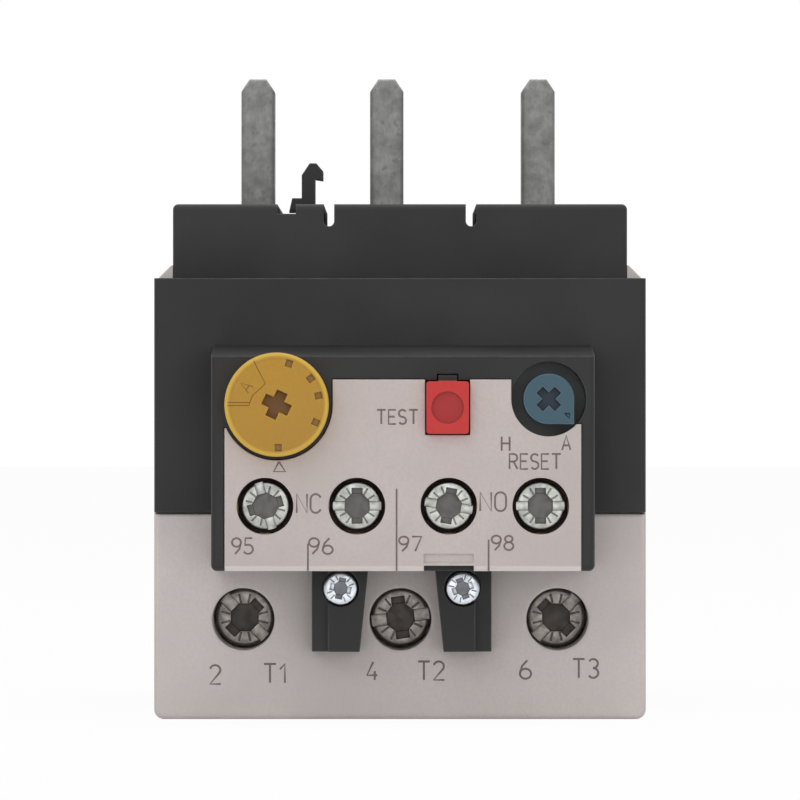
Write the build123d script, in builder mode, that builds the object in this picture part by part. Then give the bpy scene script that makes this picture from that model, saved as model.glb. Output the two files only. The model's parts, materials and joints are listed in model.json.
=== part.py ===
from build123d import *
import os
from math import cos, degrees, pi, radians, sin

# Thermal overload relay with three plug-in blades. All lengths are millimetres.
# X runs to the right, Y to the back and Z up. Z = 0 is the bottom, Y = 0 the middle of the depth.

os.makedirs("parts", exist_ok=True)

# Outer sizes of the body
wall = 2.0
corner = 0.7
part_line = 0.1
side_room = 5.15
block_inset = 1.9
block_rise = 7.6
block_setback = 12.0
shoulder_rise = 1.8
front_rise = 8.2
rear_cover_depth = 22.0
cover_corner = 1.2

# Running and sliding clearances
running = 0.05
sliding = 0.15
loose = 0.3

# Main terminals
terminal_pitch = 19.15
terminal_shift = 0.05
terminal_z = 12.2
well_radius = 3.8
well_wall = 1.2
screw_head_radius = 3.6
screw_head_thickness = 3.4
screw_head_depth = 7.0
screw_shank_radius = 2.5
screw_slot_width = 1.6
screw_slot_depth = 1.4
screw_cross_reach = 2.75
screw_cross_width = 2.0
screw_pitch = 1.0
screw_turns = 6.0
slot_angles = [-45.0, 8.0, 45.0]
bar_width = 8.6
bar_thickness = 2.0
bar_drop = 5.7
bar_rise = 4.8
bar_cover = 3.7
cage_width = 11.4
cage_inner_width = 9.2
cage_height = 9.0
cage_front = 2.5
cage_back = 2.0
cage_room = 0.9
wire_entry_width = 10.0

# Front module: a small housing with the dial, the buttons and the auxiliary terminals
module_shift = 0.35
module_margin = 0.984
module_reach = 13.0
module_drop = 6.8
module_slope = 1.4
module_wall = 1.5
opening_gap = 0.2
opening_rise = 0.9
plate_inset = 1.65
plate_drop = 2.8
plate_thickness = 1.6
plate_proud = 0.3
plate_step = 2.81
plate_bevel = 0.5
plate_notch_width = 6.0
plate_notch_height = 0.66
plate_band_height = 1.1

# Dial
dial_offset = 4.09
dial_drop = 5.82
dial_radius = 6.24
dial_proud = 2.5
dial_shaft_radius = 2.0
dial_travel = 160.0
dial_window_radius = 6.7
dial_mark_angles = [16.9, 52.6, 77.8, 114.2, 177.6]
dial_mark_radius = 5.12
dial_mark_size = 0.84
dial_mark_depth = 0.25
dial_cross_reach = 1.7
dial_cross_width = 1.37
dial_cross_depth = 1.6
dial_cross_turn = 25.0

# Test button
test_offset = 5.36
test_drop = 6.17
test_width = 5.1
test_height = 6.3
test_proud = 1.2
test_stroke = 2.0
test_dimple_radius = 1.94
test_dimple_depth = 0.4
test_arm_reach = 9.8
test_arm_thickness = 1.0
nib_width = 2.3
nib_height = 0.75
guide_length = 3.0
guide_wall = 1.0
flange_thickness = 0.8
flange_reach = 0.5

# Reset button, a drop-shaped cap that is pressed and also turned between two marks
reset_margin = 0.45
reset_drop = 5.13
reset_radius = 3.03
reset_stroke = 2.4
reset_turn = 90.0
reset_head = 2.4
reset_proud = 0.4
reset_well_radius = 4.5
reset_well_wall = 0.6
reset_cross_reach = 1.55
reset_cross_width = 1.07
reset_cross_depth = 1.0
stem_radius = 1.25
stem_room = 0.75
sleeve_length = 4.8
sleeve_wall = 1.6
sleeve_floor = 1.0
sleeve_skin = 0.4
spring_wire = 0.45
spring_turns = 4.0

# Auxiliary terminals
aux_names = [95, 96, 97, 98]
aux_pitch = 11.033
aux_height = 7.8
aux_well_radius = 3.41
aux_head_radius = 2.95
aux_head_thickness = 2.0
aux_shank_radius = 1.7
aux_shank_length = 5.2
aux_thread_pitch = 0.6
aux_turns = 2.0
aux_slot_width = 1.15
aux_slot_depth = 1.0
aux_cross_reach = 2.2
aux_cross_depth = 1.4
aux_slot_angles = [73.0, 0.0, 10.0, 0.0]
aux_washer_thickness = 1.0
aux_washer_width = 6.6
aux_plate_thickness = 1.0
aux_plate_gap = 1.833
aux_leg_width = 3.0
aux_leg_thickness = 0.8
aux_leg_height = 6.0
aux_ledge_height = 2.8

# Blades, heaters and bimetal strips
blade_shift = -1.75
blade_steps = [-2.6, 0.3]
blade_width = 4.3
blade_depth = 6.0
blade_reach = 16.95
blade_tip = 1.6
blade_gap = 0.5
blade_back_room = 6.8
foot_height = 1.6
foot_gap = 0.45
roof = 4.7
strip_thickness = 1.0
strip_width = 4.0
strip_end = 1.5
carrier_top = 10.0
carrier_thickness = 3.0
carrier_depth = 8.0
coil_radius = 3.9
coil_wire = 1.2
coil_room = 0.7
coil_turns = 4.25

# Trip mechanism
trip_travel = 1.6
slide_thickness = 1.2
slide_depth = 3.6
slide_gap = 0.5
lever_gap = 0.4
lever_turn = 6.0
lever_setback = 6.0
lever_thickness = 1.5
lever_height = 2.0
lever_hub_radius = 1.6
lever_pin_radius = 0.8
ear_rim = 1.0
ear_thickness = 1.0
ear_gap = 0.2
hub_gap = 0.3
rear_arm_rise = 2.6
rear_arm_height = 1.8
setting_turn = 2.5
setting_offset = 1.12
setting_rise = 1.1
setting_hub_radius = 2.2
setting_post_radius = 1.2
cam_radius = 3.5
cam_setback = 10.0
cam_thickness = 3.0
cam_steps = 16
pivot_shift = 0.3
pivot_rise = 1.0
eye_radius = 1.2
eye_pin_radius = 0.6
compensation_thickness = 0.8
compensation_width = 2.0
chassis_thickness = 1.5
chassis_gap = 0.5

# Latch hook
hook_x = -11.55
hook_width = 5.0
hook_setback = 30.0
hook_root_radius = 1.3
hook_seat = 0.8
hook_stem = 1.7
hook_height = 5.6
hook_flex = 8.0
barb_reach = 1.0
barb_height = 2.0
barb_rake = 0.15
hook_foot_reach = 1.6
hook_foot_top = 1.2
hook_foot_gap = 0.65
throat_reach = 1.0
notch_left = -15.2
notch_right = -12.9
notch_depth = 1.2
slit_x = 8.8
slit_width = 1.3
slit_depth = 2.75

# Lugs that carry the module's two fixing screws
lug_x = [-7.2, 7.6]
lug_reach = 10.0
lug_width = 7.0
lug_thickness = 4.5
lug_step = 1.0
lug_screw_drop = 2.3
lug_head_radius = 2.1
lug_head_thickness = 1.26
lug_cross_reach = 1.37
lug_cross_width = 0.86
lug_cross_depth = 0.72
lug_cross_turn = 12.0
lug_shank_radius = 0.9
lug_screw_length = 9.0

# Snap tongues of the rear cover and the cooling slots in the side walls
snap_levels = [14.0, 44.0]
snap_width = 6.0
snap_reach = 5.0
snap_nose = 2.0
snap_thickness = 1.2
vent_width = 1.2
vent_pitch = 2.6
vent_height = 13.0
vent_count = 4

# Across the width
body_width = 2 * terminal_pitch + cage_width + 2 * side_room
block_width = body_width - 2 * block_inset
terminal_x = [terminal_shift + step * terminal_pitch for step in (-1, 0, 1)]
blade_middle = terminal_shift + blade_shift
blade_x = [
    blade_middle - terminal_pitch - blade_steps[0],
    blade_middle,
    blade_middle + terminal_pitch + blade_steps[1],
]
module_width = 4 * aux_pitch + 2 * module_margin
plate_width = module_width - 2 * plate_inset
module_left = module_shift - module_width / 2
module_right = module_shift + module_width / 2
inner_left = module_left + module_wall
inner_right = module_right - module_wall
aux_x = [module_shift + (step - 1.5) * aux_pitch for step in range(4)]
aux_plate_width = aux_pitch - aux_plate_gap
nc_x = (aux_x[0] + aux_x[1]) / 2
no_x = (aux_x[2] + aux_x[3]) / 2
dial_x = nc_x - dial_offset
test_x = module_shift + test_offset
reset_x = module_right - reset_well_radius - reset_well_wall - reset_margin
setting_pivot_x = nc_x + setting_offset
strip_pivot_x = blade_middle - pivot_shift

# Along the depth
cage_travel = screw_pitch * screw_turns
cage_length = cage_front + cage_travel + bar_thickness + 2 * loose + cage_back
cage_setback = screw_head_depth + screw_head_thickness + 2 * loose
cover_depth = cage_setback + cage_travel + cage_length + cage_room
strip_setback = cover_depth + wall + coil_room + coil_radius + coil_wire / 2
blade_setback = strip_setback + coil_radius + coil_wire / 2 + blade_gap + blade_depth / 2
body_depth = blade_setback + blade_depth / 2 + blade_back_room + rear_cover_depth
total_depth = body_depth + module_reach + dial_proud
dial_front = -total_depth / 2
module_front = dial_front + dial_proud
cover_front = module_front + module_reach
back = cover_front + body_depth
split = back - rear_cover_depth
block_front = cover_front + block_setback
base_foot_front = cover_front + cover_depth
module_face = module_front + plate_proud
plate_back = module_front + plate_thickness
module_inner = plate_back + module_wall
blade_y = cover_front + blade_setback
strip_y = cover_front + strip_setback
hook_y = cover_front + hook_setback

# Up the height
bar_bottom = terminal_z - bar_drop
bar_top = terminal_z + cage_height / 2 + bar_rise
cover_height = bar_top + bar_cover
base_floor = cover_height + wall
aux_ledge_z = base_floor + aux_ledge_height
aux_leg_top = aux_ledge_z + aux_leg_height
pivot_bottom = aux_leg_top + slide_gap
lever_z = pivot_bottom + hub_gap
lever_top = lever_z + lever_height
rear_arm_z = lever_z + rear_arm_rise
ear_top = rear_arm_z + rear_arm_height + ear_gap + ear_thickness
module_bottom = cover_height - module_drop
module_front_top = ear_top + loose + module_wall
plate_height = module_front_top - plate_drop - module_bottom
module_rear_top = module_front_top + module_slope
inner_bottom = module_bottom + module_wall
inner_top = module_front_top - module_wall
front_top = module_rear_top + front_rise
shoulder_top = front_top + shoulder_rise
block_top = shoulder_top + block_rise
blade_top = block_top + blade_reach
roof_z = block_top - roof
slit_floor = block_top - slit_depth
notch_floor = block_top - notch_depth
dial_z = module_front_top - dial_drop
test_z = module_front_top - test_drop
reset_z = module_front_top - reset_drop
aux_z = module_bottom + aux_height
lug_bottom = module_bottom - lug_reach
lug_screw_z = module_bottom - lug_screw_drop

# Main terminal levels
head_front = cover_front + screw_head_depth
head_back = head_front + screw_head_thickness
cage_tight = cover_front + cage_setback
cage_open = cage_tight + cage_travel
bar_front = cage_open + cage_front + loose
bar_back = bar_front + bar_thickness

# Auxiliary terminal levels
aux_travel = aux_thread_pitch * aux_turns
aux_head_back = module_inner + aux_travel + 2 * part_line
aux_head_front = aux_head_back - aux_head_thickness
aux_plate_front = aux_head_back + aux_washer_thickness + part_line
aux_plate_back = aux_plate_front + aux_plate_thickness
aux_plate_bottom = aux_z - aux_washer_width / 2 - loose

# Trip mechanism levels
chassis_back = cover_front - chassis_gap
chassis_front = chassis_back - chassis_thickness
lever_x = module_shift
lever_y = cover_front + lever_setback
arm_front = lever_y - lever_thickness / 2
arm_back = lever_y + lever_thickness / 2
slide_z = rear_arm_z - slide_gap - slide_thickness
strip_top = rear_arm_z + strip_end
foot_z = slide_z - foot_gap - foot_height
coil_bottom = bar_top + coil_wire / 2 + part_line
coil_height = foot_z - part_line - coil_wire / 2 - coil_bottom
setting_pivot_z = base_floor + setting_hub_radius + setting_rise
strip_pivot_z = setting_pivot_z + pivot_rise
turn_rad = radians(lever_turn)
nc_travel = (lever_x - nc_x) * turn_rad
no_travel = (no_x - lever_x) * turn_rad
rear_arm_length = trip_travel / turn_rad
push_y = lever_y + rear_arm_length
push_z = rear_arm_z + rear_arm_height / 2
push_sides = (push_y - compensation_width / 2, push_y + compensation_width / 2)
nc_bridge_front = arm_back + loose
nc_leg_back = nc_bridge_front - part_line
no_bridge_back = arm_front - loose
no_leg_back = no_bridge_back - aux_leg_thickness - no_travel - sliding


def seen_from_front(y):
    """A drawing plane at depth y, with X to the right and Z up."""
    return Plane.XZ.offset(-y)


def spread(middle, size):
    """The two ends of a size about its middle."""
    return middle - size / 2, middle + size / 2


def block(x, y, z, mode=Mode.ADD):
    """A plain block between two corners, added to the piece or cut from it."""
    with Locations(((x[0] + x[1]) / 2, (y[0] + y[1]) / 2, (z[0] + z[1]) / 2)):
        Box(x[1] - x[0], y[1] - y[0], z[1] - z[0], mode=mode)


def rod(x, z, radius, y, mode=Mode.ADD):
    """A round rod or bore along Y between two depths."""
    with Locations(Location((x, (y[0] + y[1]) / 2, z), (90, 0, 0))):
        Cylinder(radius, y[1] - y[0], mode=mode)


def side_slot(x, y, z, height, width, depth):
    """An upright slot with round ends, cut through a side wall."""
    with Locations(Location((x, y, z))):
        Box(depth, width, height - width, mode=Mode.SUBTRACT)
    for end in spread(z, height - width):
        with Locations(Location((x, y, end), (0, 90, 0))):
            Cylinder(width / 2, depth, mode=Mode.SUBTRACT)


def cross_recess(x, z, reach, width, front, depth, turn):
    """A recess of two crossed slots, turned about the screw's axis."""
    for angle in (turn, turn + 90):
        with Locations(Location((x, front + depth / 2, z), (0, angle, 0))):
            Box(2 * reach, depth, width, mode=Mode.SUBTRACT)


# Black base housing: front face, shoulders and the block that the blades leave through
with BuildPart() as base_housing:
    with BuildSketch(Plane.YZ.offset(-body_width / 2)):
        with BuildLine():
            Polyline(
                (cover_front, cover_height),
                (cover_front, front_top),
                (block_front, front_top),
                (block_front, shoulder_top),
                (split, shoulder_top),
                (split, 0),
                (base_foot_front, 0),
                (base_foot_front, cover_height),
                close=True,
            )
        make_face()
    extrude(amount=body_width)
    along_y = base_housing.edges().filter_by(Axis.Y)
    chamfer(along_y.group_by(Axis.Z)[-1], shoulder_rise - part_line)
    fillet(base_housing.edges().filter_by(Axis.Z).group_by(Axis.Y)[0], corner)
    with BuildSketch(Plane.XY.offset(shoulder_top)):
        with Locations((0, (block_front + split) / 2)):
            Rectangle(block_width, split - block_front)
    extrude(amount=block_rise)
    rim = base_housing.faces().sort_by(Axis.Z)[-1].edges()
    fillet(rim, corner)
    # Hollow inside
    with BuildSketch(Plane.YZ.offset(-body_width / 2 + wall)):
        with BuildLine():
            Polyline(
                (cover_front + wall, base_floor),
                (cover_front + wall, front_top - wall),
                (block_front + wall, front_top - wall),
                (block_front + wall, shoulder_top - wall),
                (split, shoulder_top - wall),
                (split, wall),
                (base_foot_front + wall, wall),
                (base_foot_front + wall, base_floor),
                close=True,
            )
        make_face()
    extrude(amount=body_width - 2 * wall, mode=Mode.SUBTRACT)
    block_inside = (block_front + wall, split - wall)
    block(
        spread(0, block_width - 2 * wall),
        block_inside,
        (shoulder_top - 2 * wall, roof_z),
        Mode.SUBTRACT,
    )
    # Dividers between the poles, notched for the bimetal carrier and the trip slides
    carrier_back = strip_y + carrier_depth / 2
    for left, right in zip(blade_x, blade_x[1:]):
        middle = (left + right) / 2
        with BuildSketch(Plane.YZ.offset(middle - wall / 4)):
            with BuildLine():
                Polyline(
                    (base_foot_front + wall, wall),
                    (base_foot_front + wall, carrier_top - carrier_thickness - sliding),
                    (carrier_back + sliding, carrier_top - carrier_thickness - sliding),
                    (carrier_back + sliding, carrier_top + sliding),
                    (base_foot_front + wall, carrier_top + sliding),
                    (base_foot_front + wall, slide_z - sliding),
                    (carrier_back + sliding, slide_z - sliding),
                    (carrier_back + sliding, strip_top + strip_end),
                    (base_foot_front + wall, strip_top + strip_end),
                    (base_foot_front + wall, shoulder_top - wall),
                    (split, shoulder_top - wall),
                    (split, wall),
                    close=True,
                )
            make_face()
        extrude(amount=wall / 2)
    # Opening that the front module's mechanism passes through
    block(
        (inner_left, inner_right),
        (cover_front, cover_front + wall),
        (base_floor + opening_gap, inner_top + opening_rise),
        Mode.SUBTRACT,
    )
    for x in terminal_x:
        block(
            spread(x, bar_width + 2 * sliding),
            (base_foot_front, base_foot_front + wall),
            (bar_top - bar_thickness - sliding, bar_top + sliding),
            Mode.SUBTRACT,
        )
    for x in blade_x:
        block(
            spread(x, blade_width + 2 * sliding),
            spread(blade_y, blade_depth + 2 * sliding),
            (roof_z, block_top),
            Mode.SUBTRACT,
        )
    # Slits and the notch that cross the block from front to back
    for x in (-slit_x, slit_x):
        with BuildSketch(seen_from_front(split)):
            with Locations((x, (slit_floor + block_top) / 2 + slit_width)):
                SlotCenterToCenter(
                    slit_depth + slit_width, slit_width, rotation=90
                )
        extrude(amount=split - block_front, mode=Mode.SUBTRACT)
    block((notch_left, notch_right), (block_front, split), (notch_floor, block_top), Mode.SUBTRACT)
    # Round seat and throat of the latch hook
    hook_root_z = roof_z + hook_seat + hook_root_radius
    hook_sides = spread(hook_y, hook_width + 2 * sliding)
    rod(hook_x, hook_root_z, hook_root_radius + running, hook_sides, Mode.SUBTRACT)
    block(
        (notch_right - throat_reach, hook_x + hook_stem / 2 + loose),
        hook_sides,
        (hook_root_z + hook_root_radius / 2, block_top),
        Mode.SUBTRACT,
    )
    # Windows that the rear cover snaps into, and slots that cool the heaters
    vent_middle = foot_z - vent_height / 2
    for side in (-1, 1):
        outside = spread(side * (body_width - wall) / 2, wall + part_line)
        for level in snap_levels:
            block(
                outside,
                (split - snap_reach - sliding, split - snap_reach + snap_nose + sliding),
                spread(level, snap_width + 2 * sliding),
                Mode.SUBTRACT,
            )
        for step in range(vent_count):
            vent_y = strip_y + (step - (vent_count - 1) / 2) * vent_pitch
            side_slot(
                side * (body_width - wall) / 2, vent_y, vent_middle,
                vent_height, vent_width, wall + part_line,
            )
base_housing.part.label = "base_housing"
export_step(base_housing.part, "parts/base_housing.step")

# Rear cover: a dished shell that closes the base from behind
with BuildPart() as rear_cover:
    with BuildSketch(seen_from_front(back)):
        with Locations((0, shoulder_top / 2)):
            Rectangle(body_width, shoulder_top)
    extrude(amount=rear_cover_depth - part_line)
    along_y = rear_cover.edges().filter_by(Axis.Y)
    chamfer(along_y.group_by(Axis.Z)[-1], shoulder_rise - part_line)
    rear_rim = rear_cover.faces().sort_by(Axis.Y)[-1].edges()
    fillet(rear_rim, corner)
    block(
        spread(0, body_width - 2 * wall),
        (split, back - wall),
        (wall, shoulder_top - wall),
        Mode.SUBTRACT,
    )
    # Lip that locates the cover inside the base
    with BuildSketch(seen_from_front(split + wall)):
        with Locations((0, shoulder_top / 2)):
            Rectangle(body_width - 2 * wall - 2 * sliding, shoulder_top - 2 * wall - 2 * sliding)
            Rectangle(body_width - 4 * wall, shoulder_top - 4 * wall, mode=Mode.SUBTRACT)
    extrude(amount=2 * wall)
    for left, right in zip(blade_x, blade_x[1:]):
        middle = (left + right) / 2
        block(
            spread(middle, wall / 2 + 2 * sliding),
            (split - 2 * wall, split),
            (0, shoulder_top),
            Mode.SUBTRACT,
        )
        block(
            spread(middle, wall / 2),
            (split + part_line, back - wall),
            (wall, shoulder_top - wall),
        )
    # Snap tongues with noses that fill the base's side windows
    lip_side = body_width / 2 - wall - sliding
    for side in (-1, 1):
        for level in snap_levels:
            block(
                sorted((side * lip_side, side * (lip_side - snap_thickness))),
                (split - snap_reach, split),
                spread(level, snap_width),
            )
            block(
                sorted((side * (lip_side - snap_thickness), side * (body_width / 2 - part_line * 2))),
                (split - snap_reach, split - snap_reach + snap_nose),
                spread(level, snap_width),
            )
rear_cover.part.label = "rear_cover"
export_step(rear_cover.part, "parts/rear_cover.step")

# Grey terminal cover over the three main terminals
cover_top = cover_height - part_line
cover_back = base_foot_front - part_line
with BuildPart() as terminal_cover:
    with BuildSketch(seen_from_front(cover_back)):
        with Locations((0, cover_top / 2)):
            Rectangle(body_width, cover_top)
    extrude(amount=cover_back - cover_front)
    fillet(terminal_cover.edges().filter_by(Axis.Y).group_by(Axis.Z)[0], cover_corner)
    front_rim = terminal_cover.faces().sort_by(Axis.Y)[0].edges()
    fillet(front_rim, corner)
    block(
        spread(0, body_width - 2 * wall),
        (cover_front + wall, cover_back),
        (wall, cover_top),
        Mode.SUBTRACT,
    )
    for left, right in zip(terminal_x, terminal_x[1:]):
        block(
            spread((left + right) / 2, wall / 2),
            (cover_front + wall / 2, cover_back),
            (wall / 2, cover_top),
        )
    for x in terminal_x:
        well_back = cage_tight - loose
        rod(x, terminal_z, well_radius + well_wall, (cover_front + wall / 2, well_back))
        rod(x, terminal_z, well_radius, (cover_front, well_back), Mode.SUBTRACT)
        block(
            spread(x, wire_entry_width),
            (bar_front, cage_open + cage_length - cage_back),
            (0, wall),
            Mode.SUBTRACT,
        )
    lug_shank_end = cover_front - lug_thickness + lug_screw_length
    for x in lug_x:
        boss = (cover_front + wall / 2, lug_shank_end + well_wall)
        rod(x, lug_screw_z, lug_shank_radius + well_wall, boss)
        rod(x, lug_screw_z, lug_shank_radius + running, (cover_front, lug_shank_end), Mode.SUBTRACT)
terminal_cover.part.label = "terminal_cover"
export_step(terminal_cover.part, "parts/terminal_cover.step")


def plate_outline(grow):
    """The faceplate's outline, seen from the front, grown by a clearance."""
    tall = plate_height + 2 * grow
    with Locations((module_shift, module_bottom + plate_height / 2)):
        Rectangle(plate_width + 2 * grow, tall)
    window = dial_window_radius - grow
    with Locations((dial_x, dial_z)):
        Circle(window, mode=Mode.SUBTRACT)
    with Locations((dial_x + window / 2, dial_z + tall / 2)):
        Rectangle(window, tall, mode=Mode.SUBTRACT)
    with Locations((dial_x - plate_width / 2, dial_z - plate_step + grow + tall / 2)):
        Rectangle(plate_width, tall, mode=Mode.SUBTRACT)
    # Window round the reset button, with its small shoulder
    window = reset_well_radius - grow
    with Locations((reset_x, reset_z)):
        Circle(window, mode=Mode.SUBTRACT)
    with Locations((reset_x - window + plate_width / 2, reset_z + tall / 2)):
        Rectangle(plate_width, tall, mode=Mode.SUBTRACT)
    with Locations((reset_x + plate_width / 2, reset_z - reset_radius + grow + tall / 2)):
        Rectangle(plate_width, tall, mode=Mode.SUBTRACT)
    # Notch that the test button stands in
    with Locations((test_x, test_z - test_height / 2 - sliding + grow + tall / 2)):
        Rectangle(test_width + 2 * sliding - 2 * grow, tall, mode=Mode.SUBTRACT)


# Levels of the controls
test_front = module_front - test_proud
guide_back = module_inner + guide_length
test_flange_back = guide_back + sliding + flange_thickness
reset_front = module_front - reset_proud
reset_head_back = reset_front + reset_head
well_floor = reset_head_back + reset_stroke + loose
well_floor_back = well_floor + module_wall
sleeve_front = well_floor - sliding
sleeve_back = sleeve_front + sleeve_length
sleeve_radius = stem_radius + running + sleeve_wall
test_tip = arm_front - (test_x + stem_radius - lever_x) * turn_rad - loose - test_stroke
reset_tip = arm_front - (reset_x + stem_radius - lever_x) * turn_rad - loose - reset_stroke

# Housing of the front module, with the two lugs that fix it to the terminal cover
with BuildPart() as module_housing:
    module_back = cover_front - part_line
    with BuildSketch(Plane.YZ.offset(module_left)):
        with BuildLine():
            Polyline(
                (module_face, module_bottom),
                (module_face, module_front_top),
                (module_back, module_rear_top),
                (module_back, module_bottom),
                close=True,
            )
        make_face()
    extrude(amount=module_width)
    fillet(module_housing.edges().filter_by(Axis.Z).group_by(Axis.Y)[0], corner)
    fillet(module_housing.edges().filter_by(Axis.Y).group_by(Axis.Z)[0], corner)
    block(
        (inner_left, inner_right),
        (module_inner, module_back),
        (inner_bottom, inner_top),
        Mode.SUBTRACT,
    )
    for left, right in zip(aux_x, aux_x[1:]):
        block(
            spread((left + right) / 2, aux_plate_thickness),
            (module_inner, chassis_front - part_line),
            (inner_bottom, aux_ledge_z - 2 * aux_plate_thickness),
        )
    # Seat of the faceplate in the front wall
    with BuildSketch(seen_from_front(plate_back)):
        plate_outline(part_line)
        with Locations((module_shift, module_bottom)):
            Rectangle(plate_width + 2 * part_line, 2 * corner)
    extrude(amount=plate_back - module_face, mode=Mode.SUBTRACT)
    for x in aux_x:
        rod(x, aux_z, aux_well_radius, (module_face, module_inner), Mode.SUBTRACT)
        block(
            spread(x, aux_washer_width - 2 * corner),
            (module_inner, aux_plate_front),
            (module_bottom, inner_bottom),
            Mode.SUBTRACT,
        )
    rod(dial_x, dial_z, dial_shaft_radius + module_wall, (plate_back, guide_back))
    rod(dial_x, dial_z, dial_shaft_radius + running, (module_face, guide_back), Mode.SUBTRACT)
    rod(reset_x, reset_z, reset_well_radius + reset_well_wall, (plate_back, well_floor_back))
    rod(reset_x, reset_z, reset_well_radius, (module_face, well_floor), Mode.SUBTRACT)
    rod(reset_x, reset_z, sleeve_radius + running, (well_floor, well_floor_back), Mode.SUBTRACT)
    guide_width = test_width + 2 * sliding
    guide_height = test_height + 2 * sliding
    block(
        spread(test_x, guide_width + 2 * guide_wall),
        (plate_back, guide_back),
        (test_z - guide_height / 2 - guide_wall, inner_top),
    )
    block(
        spread(test_x, guide_width),
        (module_face, guide_back),
        spread(test_z, guide_height),
        Mode.SUBTRACT,
    )
    block(
        spread(test_x, nib_width + 2 * sliding),
        (module_face, guide_back),
        (test_z, test_z + guide_height / 2 + nib_height),
        Mode.SUBTRACT,
    )
    for x, side in zip(lug_x, (1, -1)):
        with BuildSketch(seen_from_front(module_back)):
            with BuildLine():
                Polyline(
                    (x - side * lug_width / 2, module_bottom + module_wall),
                    (x + side * lug_width / 2, module_bottom + module_wall),
                    (x + side * (lug_width / 2 - cover_corner), lug_bottom),
                    (x - side * lug_width / 2, lug_bottom),
                    close=True,
                )
            make_face()
        extrude(amount=lug_thickness)
        lug_front = module_back - lug_thickness
        edge = x - side * lug_width / 2
        block(
            (min(edge, edge + side * wall), max(edge, edge + side * wall)),
            (lug_front, lug_front + lug_step),
            (lug_bottom, module_bottom),
            Mode.SUBTRACT,
        )
        head_seat = lug_front + lug_head_thickness
        rod(x, lug_screw_z, lug_head_radius + sliding, (lug_front, head_seat), Mode.SUBTRACT)
        rod(x, lug_screw_z, lug_shank_radius + running, (lug_front, module_back), Mode.SUBTRACT)
module_housing.part.label = "module_housing"
export_step(module_housing.part, "parts/module_housing.step")

# Light faceplate that snaps into the module's front
with BuildPart() as faceplate:
    with BuildSketch(seen_from_front(plate_back)):
        plate_outline(0)
        with Locations(*[(x, aux_z) for x in aux_x]):
            Circle(aux_well_radius, mode=Mode.SUBTRACT)
        with Locations((aux_x[2], module_bottom)):
            Rectangle(plate_notch_width, 2 * plate_notch_height, mode=Mode.SUBTRACT)
    extrude(amount=plate_thickness)
    bottom_front = faceplate.faces().sort_by(Axis.Y)[0].edges().filter_by(Axis.X).group_by(Axis.Z)[0]
    chamfer(bottom_front, plate_bevel)
    band_bottom = module_bottom + plate_notch_height + plate_proud
    block(
        spread(aux_x[2], plate_notch_width),
        (module_front, module_front + plate_proud),
        (band_bottom, band_bottom + plate_band_height),
        Mode.SUBTRACT,
    )
faceplate.part.label = "faceplate"
export_step(faceplate.part, "parts/faceplate.step")

# Two pan-head screws through the lugs, as one group
with BuildPart() as module_screws:
    for x in lug_x:
        rod(x, lug_screw_z, lug_head_radius, (lug_front, head_seat - part_line))
        rod(x, lug_screw_z, lug_shank_radius, (lug_front, lug_shank_end - part_line))
        cross_recess(
            x, lug_screw_z, lug_cross_reach, lug_cross_width,
            lug_front, lug_cross_depth, lug_cross_turn,
        )
module_screws.part.label = "module_screws"
export_step(module_screws.part, "parts/module_screws.step")

# Chassis of the mechanism: closes the module's back and carries the levers
ear_size = 2 * (lever_pin_radius + ear_rim)
post_end = push_sides[0] - loose
collar_radius = stem_radius + stem_room
with BuildPart() as mechanism_chassis:
    chassis_y = (chassis_front, chassis_back)
    block(
        (inner_left + sliding, inner_right - sliding),
        chassis_y,
        (inner_bottom + sliding, inner_top - sliding),
    )
    for x in aux_x:
        block(
            spread(x, aux_leg_width + 2 * loose),
            chassis_y,
            (aux_ledge_z - aux_leg_thickness - loose, aux_ledge_z + loose),
            Mode.SUBTRACT,
        )
    rod(dial_x, dial_z, dial_shaft_radius + running, chassis_y, Mode.SUBTRACT)
    rod(test_x, test_z, stem_radius + running, chassis_y, Mode.SUBTRACT)
    rod(reset_x, reset_z, collar_radius + loose, chassis_y, Mode.SUBTRACT)
    ear_levels = (
        (pivot_bottom - ear_gap - ear_thickness, pivot_bottom - ear_gap),
        (ear_top - ear_thickness, ear_top),
    )
    for ear in ear_levels:
        block(spread(lever_x, ear_size), (chassis_back, lever_y + ear_size / 2), ear)
    with Locations((lever_x, lever_y, (ear_levels[0][0] + ear_top) / 2)):
        Cylinder(lever_pin_radius + running, ear_top - ear_levels[0][0], mode=Mode.SUBTRACT)
    rod(setting_pivot_x, setting_pivot_z, setting_post_radius, (chassis_front, post_end))
mechanism_chassis.part.label = "mechanism_chassis"
export_step(mechanism_chassis.part, "parts/mechanism_chassis.step")

# Carrier plate that holds the roots of the three bimetal strips
with BuildPart() as bimetal_carrier:
    carrier_bottom = carrier_top - carrier_thickness
    with BuildSketch(Plane.XY.offset(carrier_bottom)):
        with Locations((0, strip_y)):
            RectangleRounded(body_width - 2 * wall - 2 * sliding, carrier_depth, corner)
        with Locations(*[(x, strip_y) for x in blade_x]):
            Rectangle(strip_thickness + 2 * loose, strip_width + 2 * loose, mode=Mode.SUBTRACT)
    extrude(amount=carrier_thickness)
bimetal_carrier.part.label = "bimetal_carrier"
export_step(bimetal_carrier.part, "parts/bimetal_carrier.step")

foot_front = strip_y + coil_radius - coil_wire

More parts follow.
